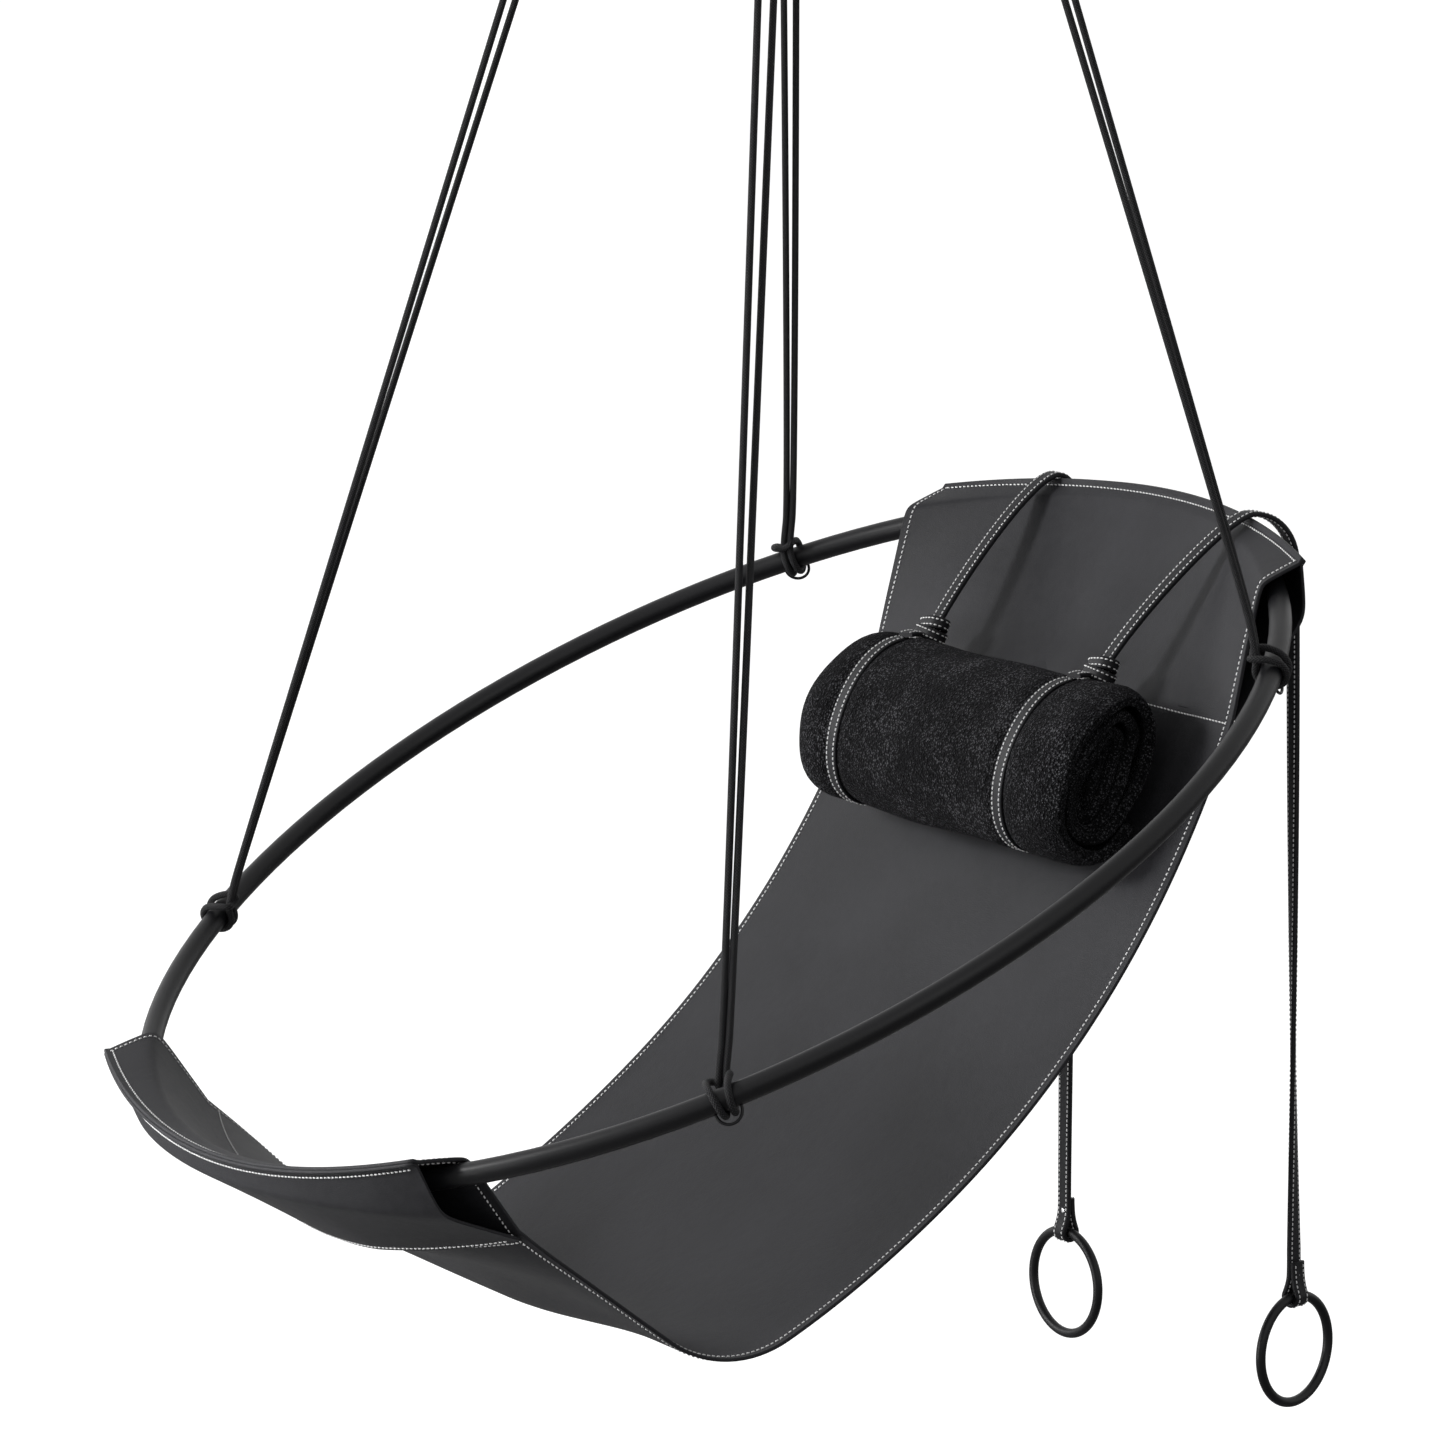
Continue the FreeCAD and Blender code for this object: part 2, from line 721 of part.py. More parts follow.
def ribbon(pieces):
    """A flat strap: the closed outline of its left edge, pulled across the strap's width."""
    return Part.Face(Part.Wire(pieces)).extrude(V(size("strap_width"), 0, 0))


TWIST_STEPS = 8


def slope_to(p, centre, radius, turn):
    """Where a line from p touches a circle that it passes on one side."""
    d = centre - p
    slope = math.asin(radius / abs(d))
    run = math.sqrt(abs(d) ** 2 - radius**2)
    return p + run * d / abs(d) * complex(math.cos(slope), turn * math.sin(slope))


# How far back the sleeve reaches behind the tails' inner edges, which hang clear of it.
tail_in = size("edge_offset") - size("strap_width") / 2
share, centre, depth, root, tip, out = end_zone("head", tail_in)
sleeve_at = centre - 1j * out * size("sleeve_belly_head") * share
sleeve_back = sleeve_at.real + depth + gap + sleeve_t

for name, side in (("left", -1), ("right", 1)):
    loop_x = side * size(name + "_loop_offset")
    edge_x = side * size("edge_offset")

    # The strap's loop round the towel, and the knot that closes it.
    loop = new_body("roll_loop_" + name)
    loop_section = new_sketch(loop, "loop_section_" + name, "YZ_Plane")
    oval(loop_section, gap + strap_t, " + $fit_gap + $strap_thick")
    oval(loop_section, gap, " + $fit_gap")
    pad(loop, "loop_strap_" + name, loop_section, "$strap_width")
    finish(loop, point(loop_x, roll_at), ROLL_TURN)

    knot = new_body("strap_knot_" + name)
    knot_section = new_sketch(knot, "knot_section_" + name, "XZ_Plane")
    w = size("strap_width") / 2 + size("knot_thick")
    t = knot_size / 2
    rectangle(knot_section, -w, -t, w, t)
    constrain(knot_section, "$strap_width / 2 + $knot_thick", "DistanceX", -1, 1, 1, 1, w)
    constrain(knot_section, "$strap_thick / 2 + $knot_thick", "DistanceY", -1, 1, 1, 2, t)
    constrain(knot_section, "$strap_width + 2 * $knot_thick", "DistanceX", 0, 1, 0, 2, 2 * w)
    constrain(knot_section, "$strap_thick + 2 * $knot_thick", "DistanceY", 1, 1, 1, 2, 2 * t)
    wraps = pad(knot, "wraps_" + name, knot_section, "$knot_length")
    doc.recompute()
    knot_round = knot.newObject("PartDesign::Fillet", "knot_round_" + name)
    knot_round.Base = (
        wraps,
        ["Edge%d" % (i + 1) for i, e in enumerate(wraps.Shape.Edges) if e.BoundBox.YLength > 1],
    )
    bind(knot_round, "Radius", "$knot_thick")
    finish(knot, point(loop_x, knot_at), ROLL_TURN)

    # The strap over the edge: a tight bend on the fin, and a wider one down to the tail.
    share, centre, depth, root, tip, out = end_zone("head", edge_x)
    tail_y = sleeve_back + size(name + "_tail_clear") + strap_t / 2
    bend_in = size("edge_bend_radius")
    bend_out = bend_in + strap_t
    bend_at = tip - out * (bend_in - size("edge_bend_rise"))
    run_from = knot_at + roll_along * (knot_size / 2 + gap)
    to_bend = bend_at - run_from
    reach_in = math.sqrt(abs(to_bend) ** 2 - bend_in**2)
    slant = math.asin(bend_in / abs(to_bend))
    run_dir = to_bend / abs(to_bend) * complex(math.cos(slant), math.sin(slant))
    land = run_from + reach_in * run_dir
    run_top = land + 1j * run_dir * strap_t
    run_start = run_from + 1j * run_dir * strap_t
    strap_left = -size("strap_width") / 2
    flat_run = ribbon(
        [
            line(strap_left, run_from, land - gap * run_dir),
            line(strap_left, land - gap * run_dir, run_top - gap * run_dir),
            line(strap_left, run_top - gap * run_dir, run_start),
            line(strap_left, run_start, run_from),
        ]
    )
    drift = (edge_x - loop_x) / (land.imag - run_from.imag)
    skew = FreeCAD.Matrix()
    skew.A13 = drift
    skew.A14 = edge_x - drift * land.imag
    finish(shape_part("strap_run_" + name, flat_run.transformGeometry(skew)))

    crown_in, crown_out = bend_at + 1j * bend_in, bend_at + 1j * bend_out
    fall_out = tail_y + strap_t / 2 - crown_out.real
    fall_in = fall_out - strap_t
    fall_centre = complex(crown_out.real, crown_out.imag - fall_out)
    half_turn = (1j * run_dir + 1j) / abs(1j * run_dir + 1j)
    eighth = heading(45)
    drop = complex(0, -size("tail_slack"))
    left_edge = edge_x - size("strap_width") / 2
    pieces = [
        line(left_edge, land, run_top),
        arc(left_edge, run_top, bend_at + bend_out * half_turn, crown_out),
        arc(left_edge, crown_out, fall_centre + fall_out * eighth, fall_centre + fall_out),
        line(left_edge, fall_centre + fall_out, fall_centre + fall_out + drop),
        line(left_edge, fall_centre + fall_out + drop, fall_centre + fall_in + drop),
        line(left_edge, fall_centre + fall_in + drop, fall_centre + fall_in),
        arc(left_edge, fall_centre + fall_in, fall_centre + fall_in * eighth, fall_centre + 1j * fall_in),
        arc(left_edge, crown_in, bend_at + bend_in * half_turn, land),
    ]
    finish(shape_part("strap_bend_" + name, ribbon(pieces)))

    # The hanging tail: it turns as it falls, folds round the ring's wire and is riveted. The
    # fold is drawn across X and then turned with the ring about the upright through the wire.
    ring_z = -size("ring_drop")
    ring_y = tail_y + strap_t / 2 + gap / 4
    ring_turn = size(name + "_ring_turn")
    tail_top = fall_centre.imag - size("tail_slack") - gap
    wire_at = complex(0, ring_z)
    wire_sag = size("ring_radius") - math.sqrt(size("ring_radius") ** 2 - size("strap_width") ** 2 / 4)
    fold_in = size("ring_wire_radius") + gap + wire_sag
    fold_out = fold_in + strap_t
    rivet_z = ring_z + size("rivet_rise")
    pinch = complex(0, rivet_z - size("rivet_head_radius") - 1)
    inner_l, inner_r = pinch - gap / 4, pinch + gap / 4
    outer_l, outer_r = inner_l - strap_t, inner_r + strap_t
    in_l, in_r = slope_to(inner_l, wire_at, fold_in, -1), slope_to(inner_r, wire_at, fold_in, 1)
    out_l, out_r = slope_to(outer_l, wire_at, fold_out, -1), slope_to(outer_r, wire_at, fold_out, 1)
    lap_top = ring_z + size("strap_end_lap")
    fold_top = lap_top + size("twist_end_rise")
    low_in, low_out = wire_at - 1j * fold_in, wire_at - 1j * fold_out
    folded = ribbon(
        [
            line(strap_left, complex(outer_l.real, fold_top), outer_l),
            line(strap_left, outer_l, out_l),
            arc(strap_left, out_l, low_out, out_r),
            line(strap_left, out_r, outer_r),
            line(strap_left, outer_r, complex(outer_r.real, lap_top)),
            line(strap_left, complex(outer_r.real, lap_top), complex(inner_r.real, lap_top)),
            line(strap_left, complex(inner_r.real, lap_top), inner_r),
            line(strap_left, inner_r, in_r),
            arc(strap_left, in_r, low_in, in_l),
            line(strap_left, in_l, inner_l),
            line(strap_left, inner_l, complex(inner_l.real, fold_top)),
            line(strap_left, complex(inner_l.real, fold_top), complex(outer_l.real, fold_top)),
        ]
    )
    hole_r = size("rivet_radius") + gap / 2
    through = 4 * strap_t
    folded = folded.cut(
        Part.makeCylinder(hole_r, 2 * through, V(0, -through, rivet_z), V(0, 1, 0))
    )
    folded.rotate(V(0, 0, 0), V(0, 0, 1), ring_turn)
    slices = []
    for step in range(TWIST_STEPS + 1):
        share = step / TWIST_STEPS
        z = tail_top + (fold_top - tail_top) * share
        slices.append(
            Part.makePolygon(
                [
                    V(strap_left, outer_l.real, z),
                    V(-strap_left, outer_l.real, z),
                    V(-strap_left, inner_l.real, z),
                    V(strap_left, inner_l.real, z),
                    V(strap_left, outer_l.real, z),
                ]
            )
        )
        slices[-1].rotate(V(0, 0, 0), V(0, 0, 1), ring_turn * share ** size("twist_power"))
    tail = Part.makeLoft(slices, True, False).fuse(folded)
    ring_at = V(edge_x, ring_y, 0)
    finish(shape_part("strap_tail_" + name, tail), ring_at)

    rivet = new_body("rivet_" + name)
    half = strap_t + gap / 2
    rr, hr, hh = size("rivet_radius"), size("rivet_head_radius"), size("rivet_head_height")
    rivet_half = new_sketch(rivet, "rivet_section_" + name, "XY_Plane")
    dome = (hr**2 + hh**2) / (2 * hh)
    swell = math.sqrt(dome**2 - (hr / 2) ** 2) - (dome - hh)
    rivet_half.addGeometry(
        [
            Part.Arc(V(0, half + hh, 0), V(hr / 2, half + swell, 0), V(hr, half, 0)),
            Part.LineSegment(V(hr, half, 0), V(rr, half, 0)),
            Part.LineSegment(V(rr, half, 0), V(rr, -half, 0)),
            Part.LineSegment(V(rr, -half, 0), V(hr, -half, 0)),
            Part.Arc(V(hr, -half, 0), V(hr / 2, -half - swell, 0), V(0, -half - hh, 0)),
            Part.LineSegment(V(0, -half - hh, 0), V(0, half + hh, 0)),
        ]
    )
    domed = rivet.newObject("PartDesign::Revolution", "domed_" + name)
    domed.Profile = rivet_half
    domed.ReferenceAxis = (rivet_half, ["V_Axis"])
    domed.Angle = 360
    ring_turned = FreeCAD.Rotation(V(0, 0, 1), ring_turn)
    finish(rivet, ring_at + V(0, 0, rivet_z), ring_turned)

    pull = primitive(
        "Torus", "pull_ring_" + name, Radius1="$ring_radius", Radius2="$ring_wire_radius"
    )
    finish(pull, ring_at + V(0, 0, ring_z - size("ring_radius")), ring_turned * PIN_TURN)
    print("%s ring turns about %s at %.4f" % (name, ring_turned.multVec(V(1, 0, 0)), ring_y - hang_y))


# ---------------------------------------------------------------- check and write

doc.recompute()
for obj in doc.Objects:
    if "Invalid" in obj.State or "Error" in obj.State:
        raise RuntimeError("%s failed: %s" % (obj.Label, obj.State))
for obj in parts:
    if obj.Shape.isNull() or not obj.Shape.isValid():
        raise RuntimeError("%s has no valid shape" % obj.Label)
    obj.Shape.exportStep("parts/%s.step" % obj.Label)
    print("%-18s %d solid(s), %9.0f mm3" % (obj.Label, len(obj.Shape.Solids), obj.Shape.Volume))
print("joints: pin z %.1f, link bar z %.1f, ring wire z %.1f" % (
    pin_z - eye_z, bar_z - eye_z, -size("ring_drop") - eye_z))
print("headrest turns about", point(0, back_centre) - ORIGIN)
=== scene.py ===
import math

import bpy
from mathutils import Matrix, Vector


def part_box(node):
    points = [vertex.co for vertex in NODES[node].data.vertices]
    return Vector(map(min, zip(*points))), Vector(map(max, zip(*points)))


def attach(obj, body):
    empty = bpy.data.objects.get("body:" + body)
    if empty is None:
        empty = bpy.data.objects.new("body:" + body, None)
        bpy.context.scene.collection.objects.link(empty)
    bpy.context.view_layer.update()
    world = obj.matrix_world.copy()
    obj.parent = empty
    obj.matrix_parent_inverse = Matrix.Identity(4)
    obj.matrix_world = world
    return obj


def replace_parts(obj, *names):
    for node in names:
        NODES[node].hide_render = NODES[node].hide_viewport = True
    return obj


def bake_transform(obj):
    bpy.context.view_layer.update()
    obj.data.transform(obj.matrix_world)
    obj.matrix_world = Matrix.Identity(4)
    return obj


# A leather sling seat in a tilted steel hoop, hung on four doubled ropes from one swivel.
# X is across the seat, +Y is towards the head, +Z is up, and the origin is the hanging eye.

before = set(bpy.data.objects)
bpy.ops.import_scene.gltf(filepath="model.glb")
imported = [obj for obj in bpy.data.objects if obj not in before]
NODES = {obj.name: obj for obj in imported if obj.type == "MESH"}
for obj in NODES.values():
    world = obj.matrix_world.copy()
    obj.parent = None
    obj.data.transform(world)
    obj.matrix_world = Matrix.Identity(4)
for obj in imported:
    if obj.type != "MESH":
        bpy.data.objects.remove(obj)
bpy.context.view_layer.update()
scene = bpy.context.scene
SIDES = ("left", "right")


# ---------------------------------------------------------------- camera, light and floor


def middle(node):
    low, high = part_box(node)
    return (low + high) / 2


HOOP_AT = middle("hoop")
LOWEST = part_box("pull_ring_left")[0].z

camera = bpy.data.objects.new("camera", bpy.data.cameras.new("camera"))
scene.collection.objects.link(camera)
camera.data.lens = 176.56
camera.data.sensor_width = 36
camera.data.clip_end = 100
camera.location = HOOP_AT + Vector((5.887, -3.4165, 1.2158))
camera.rotation_euler = (math.radians(90 - 9.274), 0, math.radians(59.747))
scene.camera = camera
scene.view_settings.view_transform = "Standard"


class Value:
    """A node's output that takes part in sums like a number."""

    def __init__(self, shop, link):
        self.shop, self.link = shop, link

    def sum(self, operation, a, b):
        return self.shop.node("ShaderNodeMath", {"operation": operation}, a, b)

    def __add__(self, other):
        return self.sum("ADD", self, other)

    def __radd__(self, other):
        return self.sum("ADD", other, self)

    def __sub__(self, other):
        return self.sum("SUBTRACT", self, other)

    def __rsub__(self, other):
        return self.sum("SUBTRACT", other, self)

    def __mul__(self, other):
        return self.sum("MULTIPLY", self, other)

    def __rmul__(self, other):
        return self.sum("MULTIPLY", other, self)

    def __pow__(self, other):
        return self.sum("POWER", self, other)

    def clamp(self):
        return self.shop.node("ShaderNodeClamp", {}, self)


class Finish:
    """One material: its nodes are added by name, and its maths is written as sums of values."""

    def __init__(self, name, **shader):
        self.material = bpy.data.materials.new(name)
        self.material.use_nodes = True
        self.tree = self.material.node_tree
        self.shader = self.tree.nodes["Principled BSDF"]
        for socket, value in shader.items():
            self.shader.inputs[socket.replace("_", " ")].default_value = value

    def node(self, kind, settings, *values, out=0, **named):
        made = self.tree.nodes.new(kind)
        for key, value in settings.items():
            if key == "stops":
                ramp = made.color_ramp
                while len(ramp.elements) < len(value):
                    ramp.elements.new(0.5)
                for stop, (place, colour) in zip(ramp.elements, value):
                    stop.position = place
                    stop.color = (*colour, 1) if hasattr(colour, "__len__") else (colour,) * 3 + (1,)
            else:
                setattr(made, key, value)
        sockets = list(zip(made.inputs, values))
        sockets += [(made.inputs[key.replace("_", " ")], value) for key, value in named.items()]
        for socket, value in sockets:
            if isinstance(value, Value):
                self.tree.links.new(value.link, socket)
            elif value is not None:
                socket.default_value = value
        return Value(self, made.outputs[out])

    def feed(self, socket, value):
        self.tree.links.new(value.link, self.shader.inputs[socket])


def paint(obj, finish):
    obj.data.materials.clear()
    obj.data.materials.append(finish.material)
    return obj


# The floor takes the shadow, and its glow, which only the camera sees, makes it white.
floor_finish = Finish("studio_floor", Base_Color=(0.4, 0.4, 0.4, 1), Roughness=0.9)
to_camera = floor_finish.node("ShaderNodeLightPath", {}, out=0) * 0.88
glow = floor_finish.node("ShaderNodeEmission", {}, Strength=to_camera)
both = floor_finish.node("ShaderNodeAddShader", {}).link.node
floor_finish.tree.links.new(floor_finish.shader.outputs[0], both.inputs[0])
floor_finish.tree.links.new(glow.link, both.inputs[1])
floor_finish.tree.links.new(both.outputs[0], floor_finish.tree.nodes["Material Output"].inputs[0])
bpy.ops.mesh.primitive_plane_add(size=400, location=(0, 0, LOWEST - 0.25))
floor = bpy.context.object
floor.name = "floor"
paint(floor, floor_finish)

# The world is white to the camera and in reflections, and lights the swing at a plain level.
world = bpy.data.worlds.new("studio")
scene.world = world
world.use_nodes = True
sky = world.node_tree.nodes
sky["Background"].inputs["Color"].default_value = (1, 1, 1, 1)
path = sky.new("ShaderNodeLightPath")
seen = sky.new("ShaderNodeMath")
glossed = sky.new("ShaderNodeMath")
level = sky.new("ShaderNodeMapRange")
level.inputs["To Min"].default_value = 0.3
level.inputs["To Max"].default_value = 1.0
wires = world.node_tree.links
wires.new(path.outputs["Is Camera Ray"], seen.inputs[0])
wires.new(path.outputs["Is Glossy Ray"], seen.inputs[1])
wires.new(seen.outputs[0], glossed.inputs[0])
wires.new(path.outputs["Is Transmission Ray"], glossed.inputs[1])
wires.new(glossed.outputs[0], level.inputs["Value"])
wires.new(level.outputs[0], sky["Background"].inputs["Strength"])


def lamp(name, at, aim, size, power):
    data = bpy.data.lights.new(name, "AREA")
    data.size, data.energy = size, power
    light = bpy.data.objects.new(name, data)
    scene.collection.objects.link(light)
    light.location = HOOP_AT + Vector(at)
    light.rotation_euler = (HOOP_AT + Vector(aim) - light.location).to_track_quat("-Z", "Y").to_euler()
    return light


lamp("key", (-2.4, -4.6, 2.2), (0, 0.3, 0), 1.2, 245)
lamp("side", (-3.6, -1.9, 1.0), (0, 0.4, 0.1), 1.8, 45)
lamp("fill", (5.0, -1.0, 2.5), (0, 0, 0), 3.0, 30)
lamp("low", (-1.2, -3.4, -0.75), (0, -0.5, -0.15), 1.4, 150)

# ---------------------------------------------------------------- finishes


def surface_noise(finish, scale, detail):
    """Even noise through the solid, in cells per metre."""
    place = finish.node("ShaderNodeTexCoord", {}, out=3)
    return finish.node("ShaderNodeTexNoise", {}, Vector=place, Scale=scale, Detail=detail)


def cells(finish, scale):
    """Distance to the nearest of many scattered points: pores and loops of pile."""
    place = finish.node("ShaderNodeTexCoord", {}, out=3)
    return finish.node("ShaderNodeTexVoronoi", {"feature": "F1"}, Vector=place, Scale=scale)


def bump(finish, height, depth):
    made = finish.node("ShaderNodeBump", {}, Height=height, Distance=depth, Strength=1.0)
    finish.feed("Normal", made)


def leather(name, dark, light, roughness, grain):
    """Smooth dyed leather: fine pores, and slow changes of tone and of dullness."""
    made = Finish(name, Roughness=roughness, Specular_IOR_Level=0.13)
    cloud = surface_noise(made, 6.0, 4.0)
    mottle = surface_noise(made, 90.0, 5.0)
    pores = cells(made, 900.0)
    tone = (cloud * 0.7 + mottle * 0.3).clamp()
    made.feed("Base Color", made.node("ShaderNodeValToRGB", {"stops": ((0.3, dark), (0.7, light))}, tone))
    made.feed("Roughness", (roughness - 0.1 + mottle * 0.12 + cloud * 0.08).clamp())
    bump(made, pores * 0.5 + mottle * 1.0 + surface_noise(made, 2200.0, 2.0) * 0.3, grain)
    return made


def powder_coat(name, colour, roughness):
    """Satin powder coat on steel: a fine orange peel and a few duller patches."""
    made = Finish(name, Roughness=roughness, Specular_IOR_Level=0.2)
    peel = surface_noise(made, 1400.0, 2.0)
    patch = surface_noise(made, 25.0, 4.0)
    low = tuple(0.85 * c for c in colour)
    made.feed("Base Color", made.node("ShaderNodeValToRGB", {"stops": ((0.3, low), (0.75, colour))}, patch))
    made.feed("Roughness", (roughness - 0.06 + patch * 0.12).clamp())
    bump(made, peel, 0.00012)
    return made


def steel(name, colour, roughness):
    """Drawn and plated steel with fine scratches along its length."""
    made = Finish(name, Metallic=1.0, Roughness=roughness)
    patch = surface_noise(made, 60.0, 5.0)
    scratch = surface_noise(made, 1800.0, 2.0)
    low = tuple(0.7 * c for c in colour)
    made.feed("Base Color", made.node("ShaderNodeValToRGB", {"stops": ((0.3, low), (0.7, colour))}, patch))
    made.feed("Roughness", (roughness - 0.1 + patch * 0.25).clamp())
    bump(made, scratch * 0.5 + patch, 0.0001)
    return made


def braid():
    """Black braided rope: yarns cross in diamonds. Its colour has painted shade in the grooves between the
    yarns and a painted highlight on their backs, with paler random flecks.
    """
    made = Finish("braided_rope", Roughness=0.6, Specular_IOR_Level=0.2)
    uv = made.node("ShaderNodeUVMap", {"uv_map": "along"})
    along = made.node("ShaderNodeSeparateXYZ", {}, uv, out=0)
    round_it = made.node("ShaderNodeSeparateXYZ", {}, uv, out=1)
    lay = [along + round_it, along - round_it]
    yarns = [made.node("ShaderNodeMath", {"operation": "PINGPONG"}, way, 0.5) for way in lay]
    over = made.node("ShaderNodeMath", {"operation": "GREATER_THAN"}, yarns[0], yarns[1])
    back = made.node("ShaderNodeMath", {"operation": "MAXIMUM"}, yarns[0], yarns[1])
    dip = made.node("ShaderNodeMath", {"operation": "MINIMUM"}, yarns[0], yarns[1])
    height = back * 1.2 + dip * 0.8
    fleck = surface_noise(made, 1500.0, 2.0)
    # Painted shade and highlight: darker where the yarns dip between each other, paler on their backs, a
    # little paler where one lay's yarn is on top; the flecks are random.
    painted_shade_and_flecks = (height * 0.75 + over * 0.08 + fleck * 0.45 - 0.35).clamp()
    ramp = ((0.15, (0.001, 0.001, 0.0012)), (0.5, (0.01, 0.01, 0.0115)), (0.8, (0.13, 0.13, 0.145)))
    made.feed("Base Color", made.node("ShaderNodeValToRGB", {"stops": ramp}, painted_shade_and_flecks))
    bump(made, height + fleck * 0.25, 0.0011)
    return made


def terry():
    """Black terry cloth: loops of pile in rows that wander. Its colour has painted shade between the loops
    and a painted highlight on their tops, with slow random changes of tone.
    """
    made = Finish("black_terry", Roughness=0.95, Specular_IOR_Level=0.05)
    made.shader.inputs["Sheen Weight"].default_value = 0.06
    made.shader.inputs["Sheen Roughness"].default_value = 0.45
    made.shader.inputs["Sheen Tint"].default_value = (0.55, 0.55, 0.6, 1)
    loops = cells(made, 400.0)
    curls = cells(made, 900.0)
    rows = surface_noise(made, 160.0, 4.0)
    folds = surface_noise(made, 22.0, 3.0)
    height = (1.0 - loops * 1.1) * 0.75 + (1.0 - curls) * 0.3 + rows * 0.5
    # Painted shade and highlight: nearly black between the loops of pile, pale on their tops.
    ramp = ((0.42, (0.0005, 0.0005, 0.0006)), (0.64, (0.0055, 0.0055, 0.0062)), (0.88, (0.14, 0.14, 0.15)))
    tone = (height * 0.7 + folds * 0.35 - 0.12).clamp()
    made.feed("Base Color", made.node("ShaderNodeValToRGB", {"stops": ramp}, tone))
    bump(made, height, 0.006)
    return made


def thread():
    """White waxed thread, with its twist."""
    made = Finish("white_thread", Roughness=0.7)
    twist = surface_noise(made, 3000.0, 2.0)
    made.feed("Base Color", made.node("ShaderNodeValToRGB", {"stops": ((0.3, 0.6), (0.6, 0.9))}, twist))
    bump(made, twist, 0.0002)
    return made


HIDE = leather("sling_leather", (0.010, 0.010, 0.0115), (0.026, 0.026, 0.029), 0.54, 0.0003)
STRAP = leather("strap_leather", (0.009, 0.009, 0.0102), (0.017, 0.017, 0.019), 0.5, 0.0002)
HOOP_COAT = powder_coat("hoop_powder_coat", (0.006, 0.006, 0.007), 0.4)
RING_COAT = powder_coat("ring_powder_coat", (0.006, 0.006, 0.007), 0.42)
ROPE = braid()
TERRY = terry()
THREAD = thread()
PLATED = steel("plated_steel", (0.55, 0.55, 0.56), 0.34)
POLISHED = steel("polished_steel", (0.85, 0.85, 0.86), 0.16)


# ---------------------------------------------------------------- mesh helpers

# A stitch's sections: along it, its thickness and its height, as shares of its length and radius.
STITCH = ((-0.5, 0.35, -0.5), (-0.32, 0.95, 0.35), (0.32, 0.95, 0.35), (0.5, 0.35, -0.5))
YARNS_ROUND = 8


def unit(t):
    return min(1.0, max(0.0, t))


def smooth(t):
    t = unit(t)
    return t * t * (3 - 2 * t)


class Shell:
    """Collects the faces of one piece: sheets, tubes and stitches, each with its finish."""

    def __init__(self):
        self.verts, self.faces, self.finish_of, self.uvs = [], [], [], []

    def add(self, verts, faces, finish=0, uvs=None):
        first = len(self.verts)
        self.verts += verts
        for i, face in enumerate(faces):
            self.faces.append([first + v for v in face])
            self.finish_of.append(finish)
            self.uvs.append(uvs[i] if uvs else [(0, 0)] * len(face))

    def grid(self, rows, finish=0, ring=False, flip=False):
        """Quads between rows of points; ring joins each row's last point to its first."""
        width = len(rows[0])
        verts = [p for row in rows for p in row]
        faces = []
        for i in range(len(rows) - 1):
            for j in range(width if ring else width - 1):
                k = (j + 1) % width
                face = [i * width + j, i * width + k, (i + 1) * width + k, (i + 1) * width + j]
                faces.append(face[::-1] if flip else face)
        self.add(verts, faces, finish)

    def piece(self, name, finishes, slot=None):
        mesh = bpy.data.meshes.new(name)
        mesh.from_pydata([tuple(v) for v in self.verts], [], self.faces)
        for finish in finishes:
            mesh.materials.append(finish.material)
        mesh.polygons.foreach_set("material_index", self.finish_of)
        layer = mesh.uv_layers.new(name="along")
        flat = [c for face in self.uvs for uv in face for c in uv]
        layer.data.foreach_set("uv", flat)
        mesh.shade_smooth()
        mesh.update()
        obj = bpy.data.objects.new(name, mesh)
        scene.collection.objects.link(obj)
        return obj


def stitches(shell, line, pitch=0.0054, length=0.0037, radius=0.0008, finish=1, slant=0.12):
    """Short rounded threads along a line of (point, normal) pairs, each end sunk in the leather."""
    gone = pitch / 2
    ring = [(math.cos(a), math.sin(a)) for a in [math.tau * k / 6 for k in range(6)]]
    for (p, n), (q, m) in zip(line, line[1:]):
        run = (q - p).length
        if run < 1e-9:
            continue
        ahead = (q - p) / run
        while gone < run:
            share = gone / run
            at = p.lerp(q, share)
            up = n.lerp(m, share).normalized()
            side = ahead.cross(up).normalized()
            way = (ahead + side * slant).normalized()
            rings = []
            for t, thick, lift in STITCH:
                mid = at + way * (t * length) + up * (lift * radius)
                rings.append([mid + (side * c + up * s) * (radius * thick) for c, s in ring])
            shell.grid(rings, finish, ring=True)
            gone += pitch
        gone -= run


